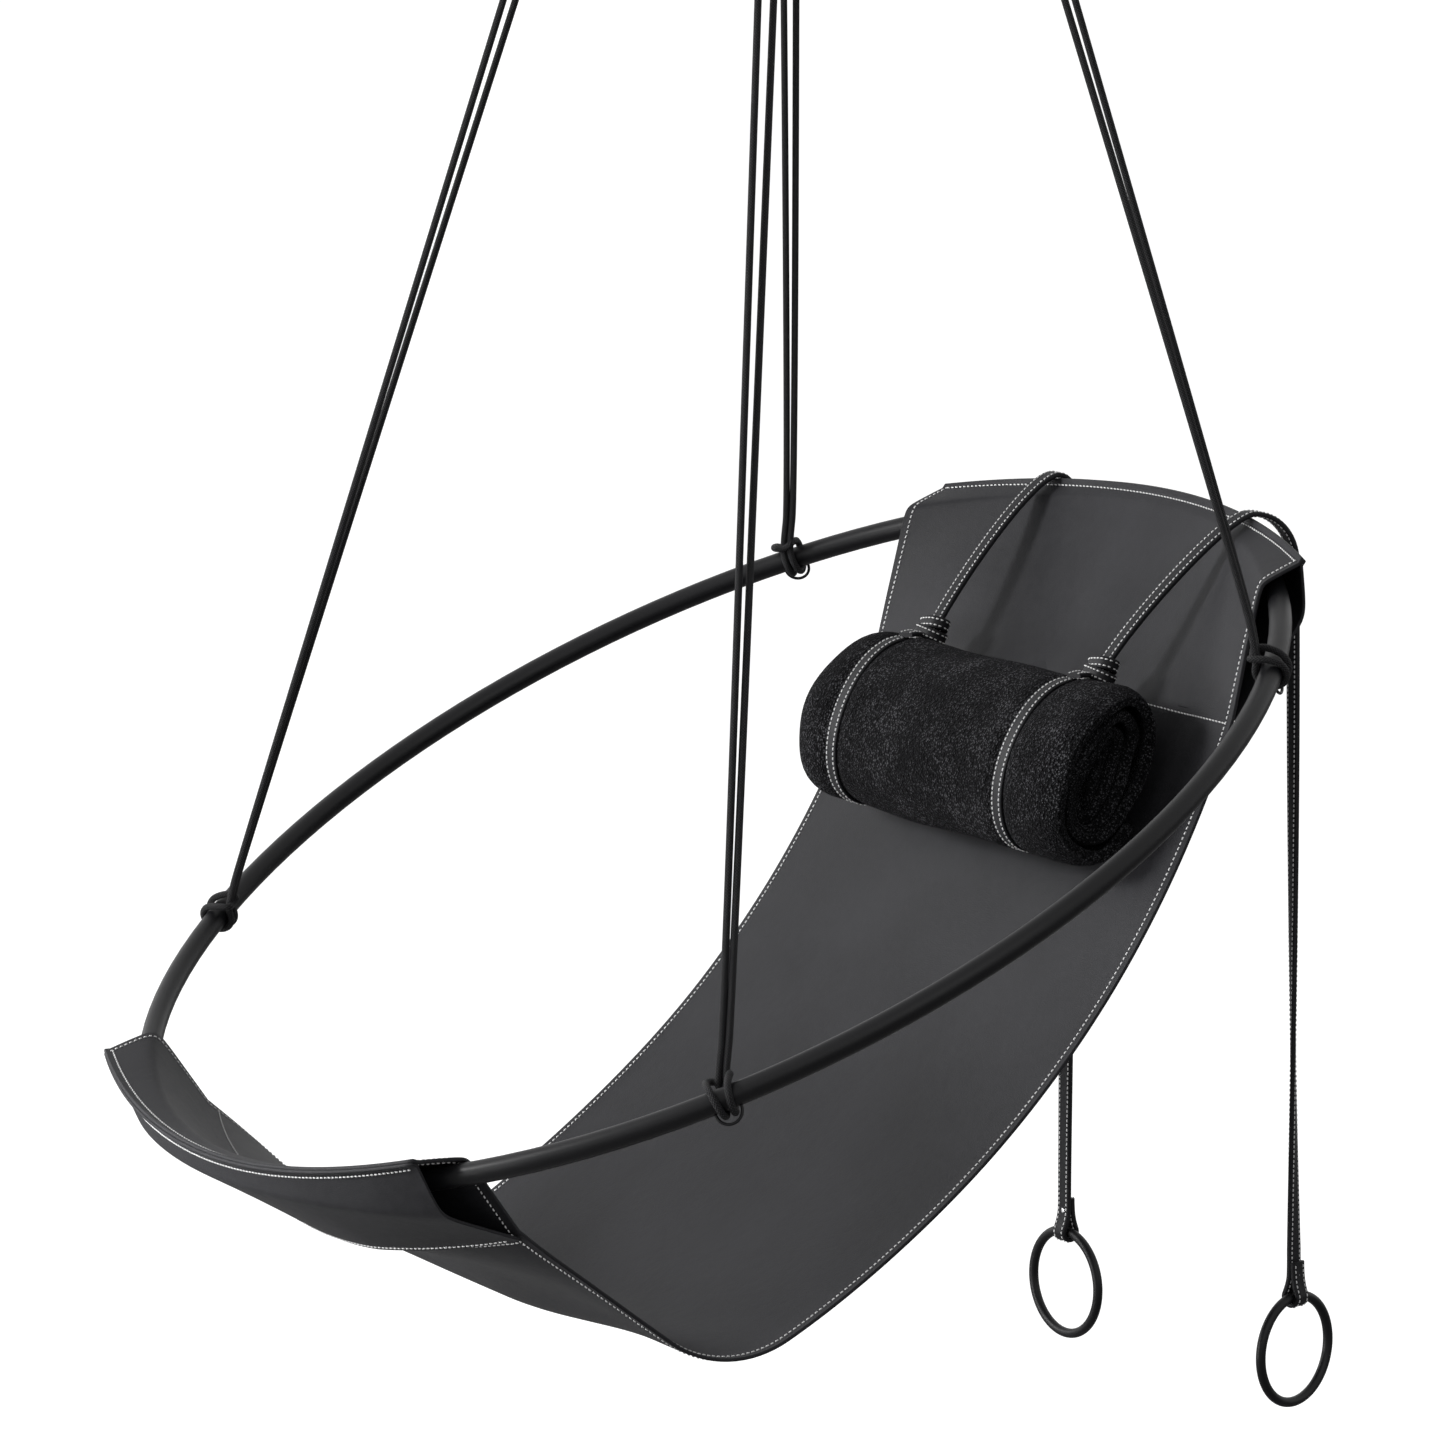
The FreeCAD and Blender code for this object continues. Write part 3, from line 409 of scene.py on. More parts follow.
def tube(shell, path, radius, sides=14, finish=0, closed=False, pitch=None):
    """A round tube along points; its map counts yarn crossings along and round it."""
    count = len(path)
    ahead = []
    for i in range(count):
        before = path[i - 1] if closed or i else path[0]
        after = path[(i + 1) % count] if closed or i < count - 1 else path[-1]
        ahead.append((after - before).normalized())
    side = ahead[0].orthogonal().normalized()
    spokes = [(math.cos(math.tau * k / sides), math.sin(math.tau * k / sides)) for k in range(sides)]
    rings, gone, runs = [], 0.0, []
    for i in range(count):
        side = (side - ahead[i] * side.dot(ahead[i])).normalized()
        over = ahead[i].cross(side)
        rings.append([path[i] + (side * c + over * s) * radius for c, s in spokes])
        if i:
            gone += (path[i] - path[i - 1]).length
        runs.append(gone)
    if closed:
        # The sides have turned on their way round, so the closing ring is the first one, turned too.
        turn = min(range(sides), key=lambda k: (rings[-1][k] - rings[0][0]).length)
        rings.append([rings[0][(k - turn) % sides] for k in range(sides)])
        runs.append(gone + (path[0] - path[-1]).length)
    yarn = pitch or radius
    verts = [v for ring in rings for v in ring]
    faces, uvs = [], []
    for i in range(len(rings) - 1):
        for k in range(sides):
            j = (k + 1) % sides
            faces.append([i * sides + k, i * sides + j, (i + 1) * sides + j, (i + 1) * sides + k])
            u0, u1 = runs[i] / yarn, runs[i + 1] / yarn
            v0, v1 = YARNS_ROUND * k / sides, YARNS_ROUND * (k + 1) / sides
            uvs.append([(u0, v0), (u0, v1), (u1, v1), (u1, v0)])
    shell.add(verts, faces, finish, uvs)


def nurbs_line(points, closed=False, finer=10):
    """The smooth line of a spline with these control points."""
    curve = bpy.data.curves.new("line", "CURVE")
    curve.dimensions = "3D"
    spline = curve.splines.new("NURBS")
    spline.points.add(len(points) - 1)
    for control, p in zip(spline.points, points):
        control.co = (*p, 1)
    spline.order_u = 3
    spline.use_endpoint_u = not closed
    spline.use_cyclic_u = closed
    spline.resolution_u = finer
    holder = bpy.data.objects.new("line", curve)
    scene.collection.objects.link(holder)
    mesh = bpy.data.meshes.new_from_object(holder)
    line = [v.co.copy() for v in mesh.vertices]
    bpy.data.objects.remove(holder)
    bpy.data.curves.remove(curve)
    bpy.data.meshes.remove(mesh)
    return line


# ---------------------------------------------------------------- ropes

HOOP_R, TUBE_R, ROPE_R = 0.6, 0.011, 0.0035
YARN_PITCH = 0.0028
TILT = math.radians(27.3)
GAP = 0.0003
LINK_BAR = HOOP_AT + Vector((0, 0.097, 1.652))
LINK_R = 0.008

# One side of the hitch, from the standing strand to the middle of its bight, in millimetres and
# degrees: along the tube, round it from its inner side up towards the pull, and out from its axis.
HITCH = (
    (3.7, 62, 18),
    (3.9, 15, 16.6),
    (4.2, -30, 16),
    (4.6, -75, 16),
    (5.2, -120, 16),
    (6.6, -165, 16),
    (8.6, 150, 16),
    (10.6, 110, 17),
    (12.4, 80, 21),
    (9.6, 61, 25.5),
    (3.4, 58, 23.2),
)

# Where a standing strand leaves the hitch: up the pull, to its side, and towards the inside.
STANDING = (0.078, 0.0037, 0.004)

# Each rope's place round the hoop, in degrees, and its place along the link's bar, in millimetres.
ROPES = (
    ("head_left", 180 - 42.6, -15.9),
    ("head_right", 42.6, 15.9),
    ("foot_left", 180 + 31.5, -7.2),
    ("foot_right", -31.5, 7.2),
)


def add_rope(name, degrees, slot):
    """A doubled rope: one closed strand from its hitch up round the link's bar and back."""
    a = math.radians(degrees)
    level, climb = math.cos(TILT), math.sin(TILT)
    spoke = Vector((math.cos(a), math.sin(a) * level, math.sin(a) * climb))
    along = Vector((-math.sin(a), math.cos(a) * level, math.cos(a) * climb))
    at = HOOP_AT + spoke * HOOP_R
    bar = LINK_BAR + Vector((slot / 1000, 0, 0))
    pull = bar - at
    up = (pull - along * pull.dot(along)).normalized()
    inward = (-spoke - up * -spoke.dot(up)).normalized()
    down = -pull.normalized()
    beside = (Vector((0, 1, 0)) - down * down.y).normalized()
    turn = (LINK_R + GAP + ROPE_R) / math.sqrt(1 - down.x**2)
    near = 1 if along.dot(beside) > 0 else -1
    rise, apart, inside = STANDING

    control = []
    for side in (near, -near):
        half = [at - down * rise + along * (side * apart) + inward * inside]
        for reach, degrees_round, out in HITCH:
            b = math.radians(degrees_round)
            away = inward * math.cos(b) + up * math.sin(b)
            half.append(at + along * (side * reach / 1000) + away * (out / 1000))
        aside = beside * (turn * side * near)
        top = [bar + aside + down * turn, bar + aside - down * turn]
        control += half[::-1] + top if side == near else top[::-1] + half
    shell = Shell()
    tube(shell, nurbs_line(control, closed=True, finer=14), ROPE_R, closed=True, pitch=YARN_PITCH)
    rope = shell.piece("braided_rope_" + name, [ROPE], "rope_black")
    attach(rope, "swing")
    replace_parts(rope, "rope_" + name, "hitch_" + name)


for rope in ROPES:
    add_rope(*rope)


# ---------------------------------------------------------------- leather sling
# A section is worked out as (y, z) pairs from the hoop's centre, written as complex numbers.


def heading(degrees):
    return complex(math.cos(math.radians(degrees)), math.sin(math.radians(degrees)))


HALF_WIDTH = 0.324
SEAT_T, SLEEVE_T = 0.0035, 0.003
ALONG = complex(math.cos(TILT), math.sin(TILT))
FOOT_SLOPE, BACK_START, BACK_END = -37.4, 25.7, 70.15
FOOT_RUN, DIP_R, BACK_R = 0.199, 0.121, 0.98
FOOT_INSET, FOOT_DROP = 0.0283, 0.0874
FIN_REACH, FIN_WIDTH, CORNER_DROP = 0.011, 0.006, 0.063
FIN_RISE = {"head": 0.020, "foot": 0.024}
# The near foot corner is drawn in and lifted a little more than the others.
NEAR_DROP, NEAR_RISE = 0.008, 0.014
SEAT_BELLY = {"head": 0.010, "foot": 0.001}
SLEEVE_BELLY = {"head": 0.022, "foot": 0.026}
CHORD = math.sqrt(HOOP_R**2 - HALF_WIDTH**2)
FOOT_SEAM = -ALONG * (CHORD - FOOT_INSET) - 1j * ALONG * FOOT_DROP
DIP_START = FOOT_SEAM + FOOT_RUN * heading(FOOT_SLOPE)
DIP_AT = DIP_START + 1j * DIP_R * heading(FOOT_SLOPE)
BACK_FOOT = DIP_AT - 1j * DIP_R * heading(BACK_START)
BACK_AT = BACK_FOOT + 1j * BACK_R * heading(BACK_START)
HEAD_SEAM = BACK_AT - 1j * BACK_R * heading(BACK_END)


def place(x, p):
    """The point of a section's (y, z) pair, at x across the seat."""
    return HOOP_AT + Vector((x, p.real, p.imag))


def end_zone(end, x):
    """One end of the sling at x: the share of its corner's cut, the tube's centre and its half
    depth in this section, and the fin's root, tip and direction."""
    share = (x / HALF_WIDTH) ** 2
    out_along = ALONG if end == "head" else -ALONG
    centre = math.sqrt(HOOP_R**2 - x**2) * out_along
    depth = TUBE_R / math.sqrt(1 - (x / HOOP_R) ** 2)
    near = share if end == "foot" and x > 0 else 0
    reach = HOOP_R + FIN_REACH - CORNER_DROP * share - NEAR_DROP * near
    tip = reach * out_along + (FIN_RISE[end] + NEAR_RISE * near) * 1j * ALONG
    out = (tip - centre) / abs(tip - centre)
    return share, centre, depth, tip - FIN_WIDTH * out, tip, out


def touch(p, centre, radius, turn):
    """Where the taut line from a point meets a circle."""
    d = centre - p
    lean = math.asin(min(1, radius / abs(d)))
    reach = math.sqrt(max(0, abs(d) ** 2 - radius**2))
    return p + reach * d / abs(d) * complex(math.cos(lean), turn * math.sin(lean))


def run_points(p, q, count):
    """Points from p to before q."""
    return [p + (q - p) * i / count for i in range(count)]


def arc_points(centre, start, end, count):
    """Points from start to before end, the short way round the centre."""
    turn = (end - centre) / (start - centre)
    angle = math.atan2(turn.imag, turn.real)
    turns = [angle * i / count for i in range(count)]
    return [centre + (start - centre) * complex(math.cos(a), math.sin(a)) for a in turns]


def foot_slope_at(x):
    """The foot slope's end at the dip, the point that pulls it into its curve, and its seam, which
    keeps its distance from the tube."""
    pulled_in = 0.8 + 0.2 * unit(x / (HALF_WIDTH / 2))
    bulge = (math.sqrt(HOOP_R**2 - x**2) - CHORD) * pulled_in
    return DIP_START, (DIP_START + FOOT_SEAM) / 2, FOOT_SEAM - ALONG * bulge


def over_tube(end, x, upper):
    """A sheet's middle line from its seam, over the tube and out along the fin to its tip."""
    share, centre, depth, root, tip, out = end_zone(end, x)
    side = 1 if end == "head" else -1
    lift = 1 if upper else -1
    up = 1j * side * out * lift
    _, pull, foot_edge = foot_slope_at(x)
    rise = (pull - foot_edge) / abs(pull - foot_edge)
    normal = 1j * (heading(BACK_END) if end == "head" else rise)
    seam = HEAD_SEAM if end == "head" else foot_edge
    thick = SEAT_T if upper else SLEEVE_T
    if not upper:
        seam = seam - normal * (SEAT_T / 2 + GAP / 2 + SLEEVE_T / 2)
    belly = (SEAT_BELLY if upper else SLEEVE_BELLY)[end] * share
    centre = centre + up * belly
    lie = up * (GAP / 4 + thick / 2)
    around = depth + GAP + thick / 2
    t1, t2 = touch(seam, centre, around, side * lift), touch(root + lie, centre, around, -side * lift)
    points = run_points(seam, t1, 14) + arc_points(centre, t1, t2, 10)
    points += run_points(t2, root + lie, 4) + run_points(root + lie, tip + lie, 3) + [tip + lie]
    return points


def eased(points, rounds, first, last):
    """The line with its turns between two of its points smoothed, more with each round."""
    for _ in range(rounds):
        points = [
            (points[i - 1] + 2 * p + points[i + 1]) / 4 if first < i < last else p
            for i, p in enumerate(points)
        ]
    return points


def across(count):
    """Places across the sling, closer together towards its side edges."""
    spots = []
    for i in range(count + 1):
        t = 2 * i / count - 1
        spots.append(HALF_WIDTH * (0.8 * t + 0.2 * math.sin(t * math.pi / 2)))
    return spots


XS = across(56)


def wave(x, s, seed):
    """Slow unevenness of a hanging hide, of about one unit."""
    return (
        math.sin(9.1 * x + 3.1 * s + seed) * math.sin(4.3 * s - 2.7 * x + 2 * seed)
        + 0.5 * math.sin(17 * x - 6.3 * s + 3 * seed) * math.sin(9.7 * s + seed)
    ) / 1.5


def sheet_shell(shell, rows, thick, sway=None):
    """A leather sheet with rounded edges round a grid of middle points. Gives both faces' points and
    normals, so that stitches can follow them."""
    high, wide = len(rows), len(rows[0])
    normals = []
    for i in range(high):
        line = []
        for j in range(wide):
            du = rows[min(i + 1, high - 1)][j] - rows[max(i - 1, 0)][j]
            dv = rows[i][min(j + 1, wide - 1)] - rows[i][max(j - 1, 0)]
            line.append(dv.cross(du).normalized())
        normals.append(line)
    if sway:
        rows = [
            [p + n * sway(i, j) for j, (p, n) in enumerate(zip(line, outward))]
            for i, (line, outward) in enumerate(zip(rows, normals))
        ]
    half = thick / 2
    top = [[p + n * half for p, n in zip(line, ns)] for line, ns in zip(rows, normals)]
    low = [[p - n * half for p, n in zip(line, ns)] for line, ns in zip(rows, normals)]
    shell.grid(top, flip=False)
    shell.grid(low, flip=True)
    border = [(0, j) for j in range(wide)] + [(i, wide - 1) for i in range(1, high)]
    border += [(high - 1, j) for j in range(wide - 2, -1, -1)] + [(i, 0) for i in range(high - 2, 0, -1)]
    rims = []
    for t, push in ((half, 0.0), (half * 0.55, 0.42), (-half * 0.55, 0.42), (-half, 0.0)):
        ring = []
        for i, j in border:
            out = Vector((0, 0, 0))
            if i == 0:
                out += rows[0][j] - rows[1][j]
            if i == high - 1:
                out += rows[-1][j] - rows[-2][j]
            if j == 0:
                out += (rows[i][0] - rows[i][1]).normalized() * 0.001
            if j == wide - 1:
                out += (rows[i][-1] - rows[i][-2]).normalized() * 0.001
            ring.append(rows[i][j] + normals[i][j] * t + out.normalized() * (half * push))
        rims.append(ring)
    shell.grid(rims, ring=True, flip=False)
    return top, low, normals


def between(grid, u, v):
    """The value at a fractional (row, column) place in a grid."""
    i, j = min(int(u), len(grid) - 2), min(int(v), len(grid[0]) - 2)
    a, b = u - i, v - j
    return grid[i][j].lerp(grid[i][j + 1], b).lerp(grid[i + 1][j].lerp(grid[i + 1][j + 1], b), a)


def face_line(face, normals, spots, sign=1):
    """The (point, normal) pairs at fractional (row, column) places on a face."""
    return [(between(face, u, v), between(normals, u, v) * sign) for u, v in spots]


def column_at(x):
    """The fractional column at x across the sling."""
    for j in range(len(XS) - 1):
        if XS[j] <= x <= XS[j + 1]:
            return j + (x - XS[j]) / (XS[j + 1] - XS[j])


def row_at(rows, j, inset):
    """The fractional row that is this far from the last row, along column j."""
    gone = 0.0
    for i in range(len(rows) - 1, 0, -1):
        step = (rows[i][j] - rows[i - 1][j]).length
        if gone + step >= inset:
            return i - (inset - gone) / step
        gone += step


EDGE = 0.0075
COLUMNS = [column_at(-HALF_WIDTH + EDGE + (2 * HALF_WIDTH - 2 * EDGE) * i / 80) for i in range(81)]


def seat_section(x):
    """The seat's middle line from foot tip to head tip, and the row of its head seam."""
    foot = over_tube("foot", x, True)[::-1]
    head = over_tube("head", x, True)
    start, pull, foot_edge = foot_slope_at(x)
    slope = []
    for t in [i / 18 for i in range(18)]:
        slope.append(foot_edge * (1 - t) ** 2 + 2 * pull * t * (1 - t) + start * t**2)
    line = foot[:-1] + slope
    line += arc_points(DIP_AT, DIP_START, BACK_FOOT, 16) + arc_points(BACK_AT, BACK_FOOT, HEAD_SEAM, 64)
    first = len(line)
    line += head
    rounds = 2 + int(14 * (x / HALF_WIDTH) ** 4)
    line = eased(line, rounds, 4, 28)
    line = eased(line, 12, 30, 40)
    return eased(line, rounds, first + 3, len(line) - 5), first


FOOT_ROW = 31


def slack(x, i):
    """How far the hide's dip hangs below its taut line: most in the middle and on the left."""
    along = math.exp(-(((i - 52) / 16) ** 2)) * smooth((i - FOOT_ROW) / 10)
    return complex(0.004, -0.022) * along * smooth((0.26 - x) / 0.3)


seat_rows = []
for x in XS:
    line, HEAD_ROW = seat_section(x)
    seat_rows.append([place(x, p + slack(x, i)) for i, p in enumerate(line)])
seat_rows = [list(row) for row in zip(*seat_rows)]


def seat_sway(i, j):
    """The hide's own unevenness: slow waves, lifted side edges, and dents below the head edge."""
    x, s = XS[j], i / 60
    free = unit((i - FOOT_ROW - 3) / 12) * unit((HEAD_ROW - 24 - i) / 14)
    near_head = unit((i - HEAD_ROW + 16) / 10) * unit((HEAD_ROW + 11 - i) / 6)
    edge = max(0.0, (abs(x) - 0.29) / 0.034) ** 2
    dents = -0.0045 * math.exp(-(((x + 0.03) / 0.035) ** 2))
    dents -= 0.004 * math.exp(-(((x - 0.235) / 0.03) ** 2))
    hang = free * (0.0016 * wave(x, s, 1.3) - 0.0006) + 0.0008 * edge * free
    return hang + near_head * (dents + 0.0016 * wave(x, s, 0.4))


def cut_area(rows):
    """The area of a sheet's middle surface."""
    area = 0.0
    for line, after in zip(rows, rows[1:]):
        for a, b, c, d in zip(line, line[1:], after[1:], after):
            area += (c - a).cross(d - b).length / 2
    return area


def cut_length(rows):
    """The longest way along a sheet."""
    return max(
        sum((after[j] - line[j]).length for line, after in zip(rows, rows[1:]))
        for j in range(len(rows[0]))
    )


def declare_sheet(rows, width):
    """Works out a sheet's length and area from its middle surface, which nothing has stretched, and does
    nothing more with them.
    """
    length = cut_length(rows)
    area = min(cut_area(rows), width * length)


seat, seams = Shell(), Shell()
top, low, normals = sheet_shell(seat, seat_rows, SEAT_T, seat_sway)
for face, sign in ((top, 1), (low, -1)):
    for x in (-HALF_WIDTH + EDGE, HALF_WIDTH - EDGE):
        spots = [(1.9 + (len(seat_rows) - 4.8) * i / 160, column_at(x)) for i in range(161)]
        stitches(seams, face_line(face, normals, spots, sign), finish=0)
head_edge = [(row_at(top, int(v), EDGE), v) for v in COLUMNS]
foot_edge = [(len(top) - 1 - row_at(top[::-1], int(v), EDGE), v) for v in COLUMNS]
for spots in (head_edge, foot_edge):
    stitches(seams, face_line(top, normals, spots), finish=0)
for row in (HEAD_ROW - 0.5, FOOT_ROW + 0.5):
    for sign, face in ((1, top), (-1, low)):
        stitches(seams, face_line(face, normals, [(row, v) for v in COLUMNS], sign), finish=0)
seat_piece = seat.piece("leather_sling", [HIDE], "sling_leather")
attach(seat_piece, "swing")
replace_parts(seat_piece, "seat_panel")
seam_piece = seams.piece("sling_seams", [THREAD])
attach(seam_piece, "swing")
declare_sheet(seat_rows, 2 * HALF_WIDTH)


def add_sleeve(end):
    """The leather under the seat's end, sewn to it inside and outside the tube."""
    rows = []
    for x in XS:
        line = eased(over_tube(end, x, False), 2 + int(40 * (x / HALF_WIDTH) ** 4), 0, 28)
        rows.append([place(x, p) for p in line])
    rows = [list(row) for row in zip(*rows)]
    if end == "head":
        rows = [row[::-1] for row in rows]

    sleeve, seams = Shell(), Shell()
    top, low, normals = sheet_shell(sleeve, rows, SLEEVE_T)
    tube_at = place(0, (ALONG if end == "head" else -ALONG) * HOOP_R)
    top_reach, low_reach = [(face[17][28] - tube_at).length for face in (top, low)]
    outside, sign = (top, 1) if top_reach > low_reach else (low, -1)
    tips = [(row_at(outside, int(v), EDGE), v) for v in COLUMNS]
    for spots in (tips, [(0.8, v) for v in COLUMNS]):
        stitches(seams, face_line(outside, normals, spots, sign), finish=0)
    sleeve_piece = sleeve.piece("leather_" + end + "_sleeve", [HIDE], "sling_leather")
    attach(sleeve_piece, "swing")
    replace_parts(sleeve_piece, end + "_sleeve")
    seam_piece = seams.piece(end + "_sleeve_seams", [THREAD])
    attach(seam_piece, "swing")
    declare_sheet(rows, 2 * HALF_WIDTH)


add_sleeve("head")
add_sleeve("foot")


# ---------------------------------------------------------------- towel headrest

ROLL_HALF, ROLL_LONG, ROLL_SHORT = 0.235, 0.086, 0.056
STRAP_W, STRAP_T = 0.018, 0.0045
LOOP_T = 0.003
ROLL_ALONG = heading(64.5)
ROLL_AT = BACK_AT - 1j * (BACK_R - SEAT_T / 2 - 2 * GAP - LOOP_T - ROLL_SHORT) * ROLL_ALONG
KNOT_T = 0.0032
KNOT_SIZE = 2 * KNOT_T + LOOP_T
KNOT_AT = ROLL_AT + ROLL_ALONG * (ROLL_LONG + 2 * GAP + LOOP_T + KNOT_SIZE / 2)
SLEEVE_BACK = 0.53213
LEAN_IN = {"left": 0.0, "right": 0.012}
LOOP_X = {"left": -0.165, "right": 0.147}
EDGE_X = {"left": -0.177, "right": 0.177}


def roll_point(x, degrees, grow):
    """A point off the roll's oval section: 0 is towards the head edge, 90 is away from the back."""
    a = math.radians(degrees)
    oval = complex(math.cos(a) * (ROLL_LONG + grow), math.sin(a) * (ROLL_SHORT + grow))
    return place(x, ROLL_AT + ROLL_ALONG * oval)


def pinch(x):
    """How much the loops draw the towel in, here, from 0 to 1."""
    return sum(math.exp(-(((x - loop) / 0.018) ** 4)) for loop in LOOP_X.values())


TOWEL_T = 0.011
TURNS = 4.1
FREE_EDGE = -118.0
TOWEL_STEPS = int(TURNS * 56)
TOWEL_COLUMNS = 120


def towel_spot(share, u):
    """A point of the towel's middle surface: share runs from the core out to the free edge."""
    degrees = FREE_EDGE - 360 * TURNS * (1 - share)
    a = math.radians(degrees)
    turns_in = TURNS * (1 - share)
    inward = 0.0118 * (turns_in if turns_in > 1 else smooth((turns_in - 0.8) / 0.2))
    left = -ROLL_HALF - 0.012 + 0.007 * turns_in + 0.004 * math.sin(2 * a + 1)
    right = ROLL_HALF + 0.018 - 0.008 * turns_in + 0.004 * math.sin(2 * a)
    x = left + (right - left) * u
    long_r = ROLL_LONG - TOWEL_T / 2 - inward * 1.1
    short_r = max(0.004, ROLL_SHORT - TOWEL_T / 2 - inward)
    ends = (u * (right - left), (1 - u) * (right - left))
    round_off = 0.016 * max(0.0, 1 - ends[0] / 0.05) ** 2.2
    round_off += 0.008 * max(0.0, 1 - ends[1] / 0.03) ** 2.2
    flare = 0.004 * smooth((x - 0.165) / 0.05) * max(0.0, math.cos(a / 2 + 0.5))
    front = smooth((math.sin(a) + 0.9) / 0.5)
    loose = 0.0022 * math.sin(11 * x + 2.2 * a) * math.sin(3 * a + 5 * x)
    loose += 0.0012 * math.sin(31 * x + a)
    free = 1 - pinch(x)
    grow = -0.0004 + (0.0045 + loose + flare) * free * front - round_off * (1.1 - turns_in / TURNS)
    oval = complex(math.cos(a) * (long_r + grow), math.sin(a) * (short_r + grow))
    return place(x, ROLL_AT + ROLL_ALONG * oval)


towel_rows = []
for i in range(TOWEL_STEPS + 1):
    share = i / TOWEL_STEPS
    towel_rows.append([towel_spot(share, j / TOWEL_COLUMNS) for j in range(TOWEL_COLUMNS + 1)])
towel = Shell()
sheet_shell(towel, towel_rows, TOWEL_T)
towel_piece = towel.piece("rolled_towel", [TERRY], "towel")
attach(towel_piece, "headrest")
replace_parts(towel_piece, "headrest_roll")
TOWEL_WIDTH = max(sum((b - a).length for a, b in zip(row, row[1:])) for row in towel_rows)
declare_sheet(towel_rows, TOWEL_WIDTH)


# ---------------------------------------------------------------- straps

ACROSS = Vector((1, 0, 0))
KNOT_ASIDE, KNOT_UP = 0.006, 0.010
# Each wrap of a knot: how far up the strap it lies, its lean in degrees, its half width and depth.
WRAPS = (
    (-0.0105, 10, 0.0150, 0.0105),
    (0.0004, -5, 0.0165, 0.0120),
    (0.0110, 9, 0.0152, 0.0102),
)
# Heights from the hoop's centre: the ring's wire, the rivet, the folded end, the turn's end.
WIRE_Z, RIVET_Z, LAP_TOP, TURNED_Z = -0.559 + 0.0545, -0.4825, -0.4685, -0.4565
EDGE_BEND = 0.009
RING_CLEAR = {"left": 0.002, "right": 0.047}
RING_TURN = {"left": 5, "right": -73}
LOOSE_TURN = {"left": 17, "right": 0}

def band(shell, spine, width=STRAP_W, thick=STRAP_T, sewn=(1, -1)):
    """A strap along (middle, across, out) places: rounded edges and two sewn rows on each face."""
    half, t = width / 2, thick / 2
    outline = [(-half + 0.0006, t), (-half / 3, t * 1.04), (half / 3, t * 1.04), (half - 0.0006, t)]
    outline += [(half, t * 0.5), (half, -t * 0.5)]
    outline += [(half - 0.0006, -t), (half / 3, -t * 1.04), (-half / 3, -t * 1.04), (-half + 0.0006, -t)]
    outline += [(-half, -t * 0.5), (-half, t * 0.5)]
    rows = [[mid + side * a + out * b for a, b in outline] for mid, side, out in spine]
    shell.grid(rows, ring=True, flip=False)
    for row, step in ((rows[0], -1), (rows[-1], 1)):
        shell.add(row, [list(range(len(row)))[::step]])
    for face in sewn:
        for a in (-half + 0.003, half - 0.003):
            line = [(mid + side * a + out * (face * t * 1.02), out * face) for mid, side, out in spine]
            stitches(shell, line, pitch=0.005, length=0.0034, radius=0.0007, slant=0.0)


def spine_of(points, sides):
    """Middle, across and out at each point of a strap's line."""
    spine = []
    for i, p in enumerate(points):
        ahead = (points[min(i + 1, len(points) - 1)] - points[max(i - 1, 0)]).normalized()
        side = (sides[i] - ahead * sides[i].dot(ahead)).normalized()
        spine.append((p, side, side.cross(ahead).normalized()))
    return spine


def strap_piece(shell, name, body):
    piece = shell.piece(name, [STRAP, THREAD], "strap_leather")
    if body:
        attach(piece, body)
    return piece


def add_loop(name):
    """The loop lies snug on the towel, and sinks in a little where the towel gives way."""
    points = []
    for i in range(97):
        degrees = 360 * i / 96
        sag = -0.0005 + 0.0006 * math.sin(3 * math.radians(degrees))
        shift = 0.0015 * math.sin(math.radians(degrees))
        points.append(roll_point(LOOP_X[name] + shift, degrees, GAP + LOOP_T / 2 + sag))
    loop = Shell()
    band(loop, spine_of(points, [ACROSS] * len(points)), thick=LOOP_T)
    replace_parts(strap_piece(loop, "headrest_loop_" + name, "headrest"), "roll_loop_" + name)


def add_knot(name):
    """Three wraps round the strap where it leaves the roll, and its free end tucked under them."""
    knot = Shell()
    out_of_roll = place(0, 1j * ROLL_ALONG * -1) - place(0, 0)
    climb = place(0, ROLL_ALONG) - place(0, 0)
    knot_x = LOOP_X[name] + KNOT_ASIDE
    centre = place(knot_x, KNOT_AT + KNOT_UP)
    for lift, lean, wide, deep in WRAPS:
        points, sides = [], []
        tilt = math.tan(math.radians(lean))
        for i in range(49):
            a = math.tau * i / 48
            c, s = math.cos(a), math.sin(a)
            c = math.copysign(abs(c) ** 0.7, c)
            s = math.copysign(abs(s) ** 0.8, s)
            off = climb * (lift + tilt * c * wide)
            points.append(centre + ACROSS * (c * wide) + out_of_roll * (s * deep) + off)
            sides.append(climb - ACROSS * tilt * 0.5)
        band(knot, spine_of(points, sides), width=0.0125, thick=0.0036)
    points = []
    for i in range(25):
        t = i / 24
        points.append(roll_point(knot_x + 0.006 * t, 6 + 15 * t, 0.0085 - 0.001 * t))
    band(knot, spine_of(points, [ACROSS] * len(points)), width=0.017)
    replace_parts(strap_piece(knot, "headrest_knot_" + name, "headrest"), "strap_knot_" + name)


def crown_over(edge_x):
    """The strap's highest place, on the sling's head edge."""
    _, _, _, _, tip, out = end_zone("head", edge_x)
    return tip - FIN_WIDTH * out + 1j * (EDGE_BEND + STRAP_T / 2)


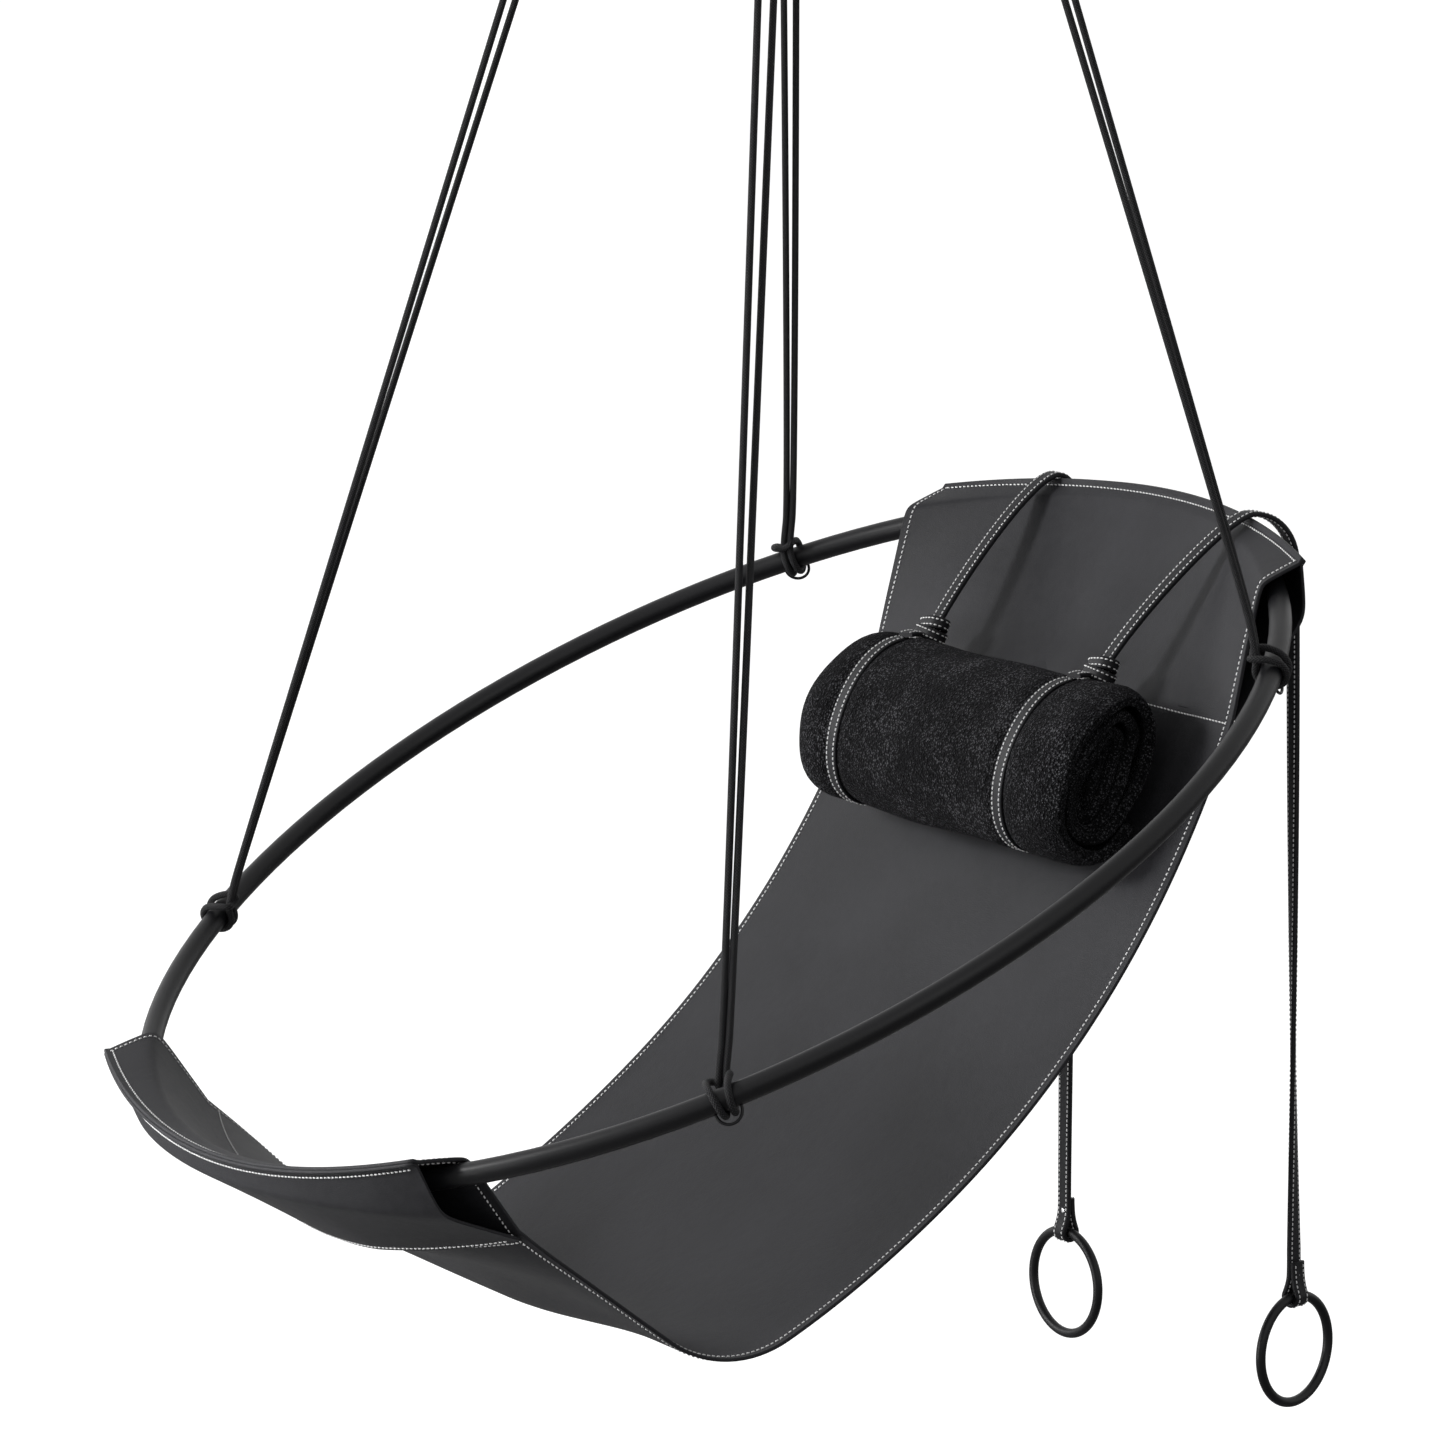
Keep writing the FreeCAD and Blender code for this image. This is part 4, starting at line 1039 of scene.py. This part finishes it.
def add_run(name):
    """The strap from the knot up to the sling's edge."""
    knot_x = LOOP_X[name] + KNOT_ASIDE
    start = KNOT_AT + KNOT_UP + ROLL_ALONG * 0.003
    crown = crown_over(EDGE_X[name])
    pull = 0.45 * abs(crown - start)
    points, sides = [], []
    for i in range(49):
        t = i / 48
        line = start * (1 - t) ** 2 * (1 + 2 * t) + crown * t**2 * (3 - 2 * t)
        line += ROLL_ALONG * pull * t * (1 - t) ** 2 - pull * t**2 * (1 - t)
        points.append(place(knot_x + (EDGE_X[name] - knot_x) * smooth(t), line))
        lean = 0.3 * math.sin(math.pi * t)
        sides.append(Vector((1, -lean, -lean)))
    run = Shell()
    band(run, spine_of(points, sides))
    piece = strap_piece(run, "headrest_strap_" + name, None)
    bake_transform(piece)
    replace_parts(piece, "strap_run_" + name)


def folded_end(top_z):
    """The tail's (out, up) places down to the ring, round its wire, and up to the rivet."""
    u = STRAP_T / 2 + GAP / 4
    pinch_z = RIVET_Z - 0.006
    wire_r = 0.00622 + STRAP_T / 2
    wrap = []
    for k in range(19):
        b = -0.35 + (math.pi + 0.7) * k / 18
        wrap.append(complex(0, WIRE_Z) + wire_r * complex(-math.cos(b), -math.sin(b)))
    line = run_points(complex(-u, top_z), complex(-u, pinch_z), 70)
    line += [complex(-u, pinch_z)] + wrap + [complex(u, pinch_z), complex(u, LAP_TOP)]
    upper, rest = line[:60], line[60:]
    fold = [upper[-1]] + [p for a, b in zip(rest, rest[1:]) for p in run_points(a, b, 3)] + [rest[-1]]
    return upper[:-1] + eased(fold, 6, 0, len(fold) - 1)


def add_tail(name):
    """The strap over the head edge and down behind, turned about its length towards its ring."""
    edge_x = EDGE_X[name]
    crown = crown_over(edge_x)
    ring_y = SLEEVE_BACK + RING_CLEAR[name] + LOOP_T + GAP / 4
    fall_r = ring_y - STRAP_T / 2 - GAP / 4 - LEAN_IN[name] - crown.real
    fall_at = complex(crown.real, crown.imag - fall_r)
    drop = fall_at.imag - LAP_TOP
    flat = arc_points(fall_at, fall_at + 1j * fall_r, fall_at + fall_r, 20)
    flat += run_points(fall_at + fall_r, fall_at + fall_r - 0.09j, 12)
    points = []
    for p in flat:
        lean = LEAN_IN[name] * min(0.0, (p.imag - fall_at.imag) / drop)
        points.append(place(edge_x, p - lean))
    sides = [ACROSS] * len(points)
    ring_at = HOOP_AT + Vector((edge_x, ring_y, 0))
    top_z = fall_at.imag - 0.0903
    for p in folded_end(top_z):
        share = unit((top_z - p.imag) / (top_z - TURNED_Z))
        loose = LOOSE_TURN[name] * math.sin(math.pi * share) ** 1.5
        a = math.radians(RING_TURN[name] * share**1.8 + loose)
        away = Vector((-math.sin(a), math.cos(a), 0))
        lean = LEAN_IN[name] * max(0.0, p.imag - LAP_TOP) / drop
        points.append(ring_at + away * p.real + Vector((0, -lean, p.imag)))
        sides.append(Vector((math.cos(a), math.sin(a), 0)))
    tail = Shell()
    band(tail, spine_of(points, sides))
    piece = strap_piece(tail, "headrest_tail_" + name, None)
    bottom = place(edge_x, fall_at + fall_r)
    "tail_" + name
    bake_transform(piece)
    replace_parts(piece, "strap_bend_" + name, "strap_tail_" + name)


for name in SIDES:
    add_loop(name)
    add_knot(name)
    add_run(name)
    add_tail(name)


# ---------------------------------------------------------------- metal parts

COATS = {
    "hoop": (HOOP_COAT, "hoop_black"),
    "swivel_eye": (PLATED, "fitting_steel"),
    "swivel_nut": (PLATED, "fitting_steel"),
    "swivel_yoke": (PLATED, "fitting_steel"),
    "yoke_pin": (PLATED, "fitting_steel"),
    "hang_link": (PLATED, "fitting_steel"),
}
for name in SIDES:
    COATS["pull_ring_" + name] = (RING_COAT, "ring_black")
    COATS["rivet_" + name] = (POLISHED, "rivet_steel")
for name, *_ in ROPES:
    COATS["eye_" + name] = (HOOP_COAT, "hoop_black")
for name, (coat, kind) in COATS.items():
    paint(NODES[name], coat)
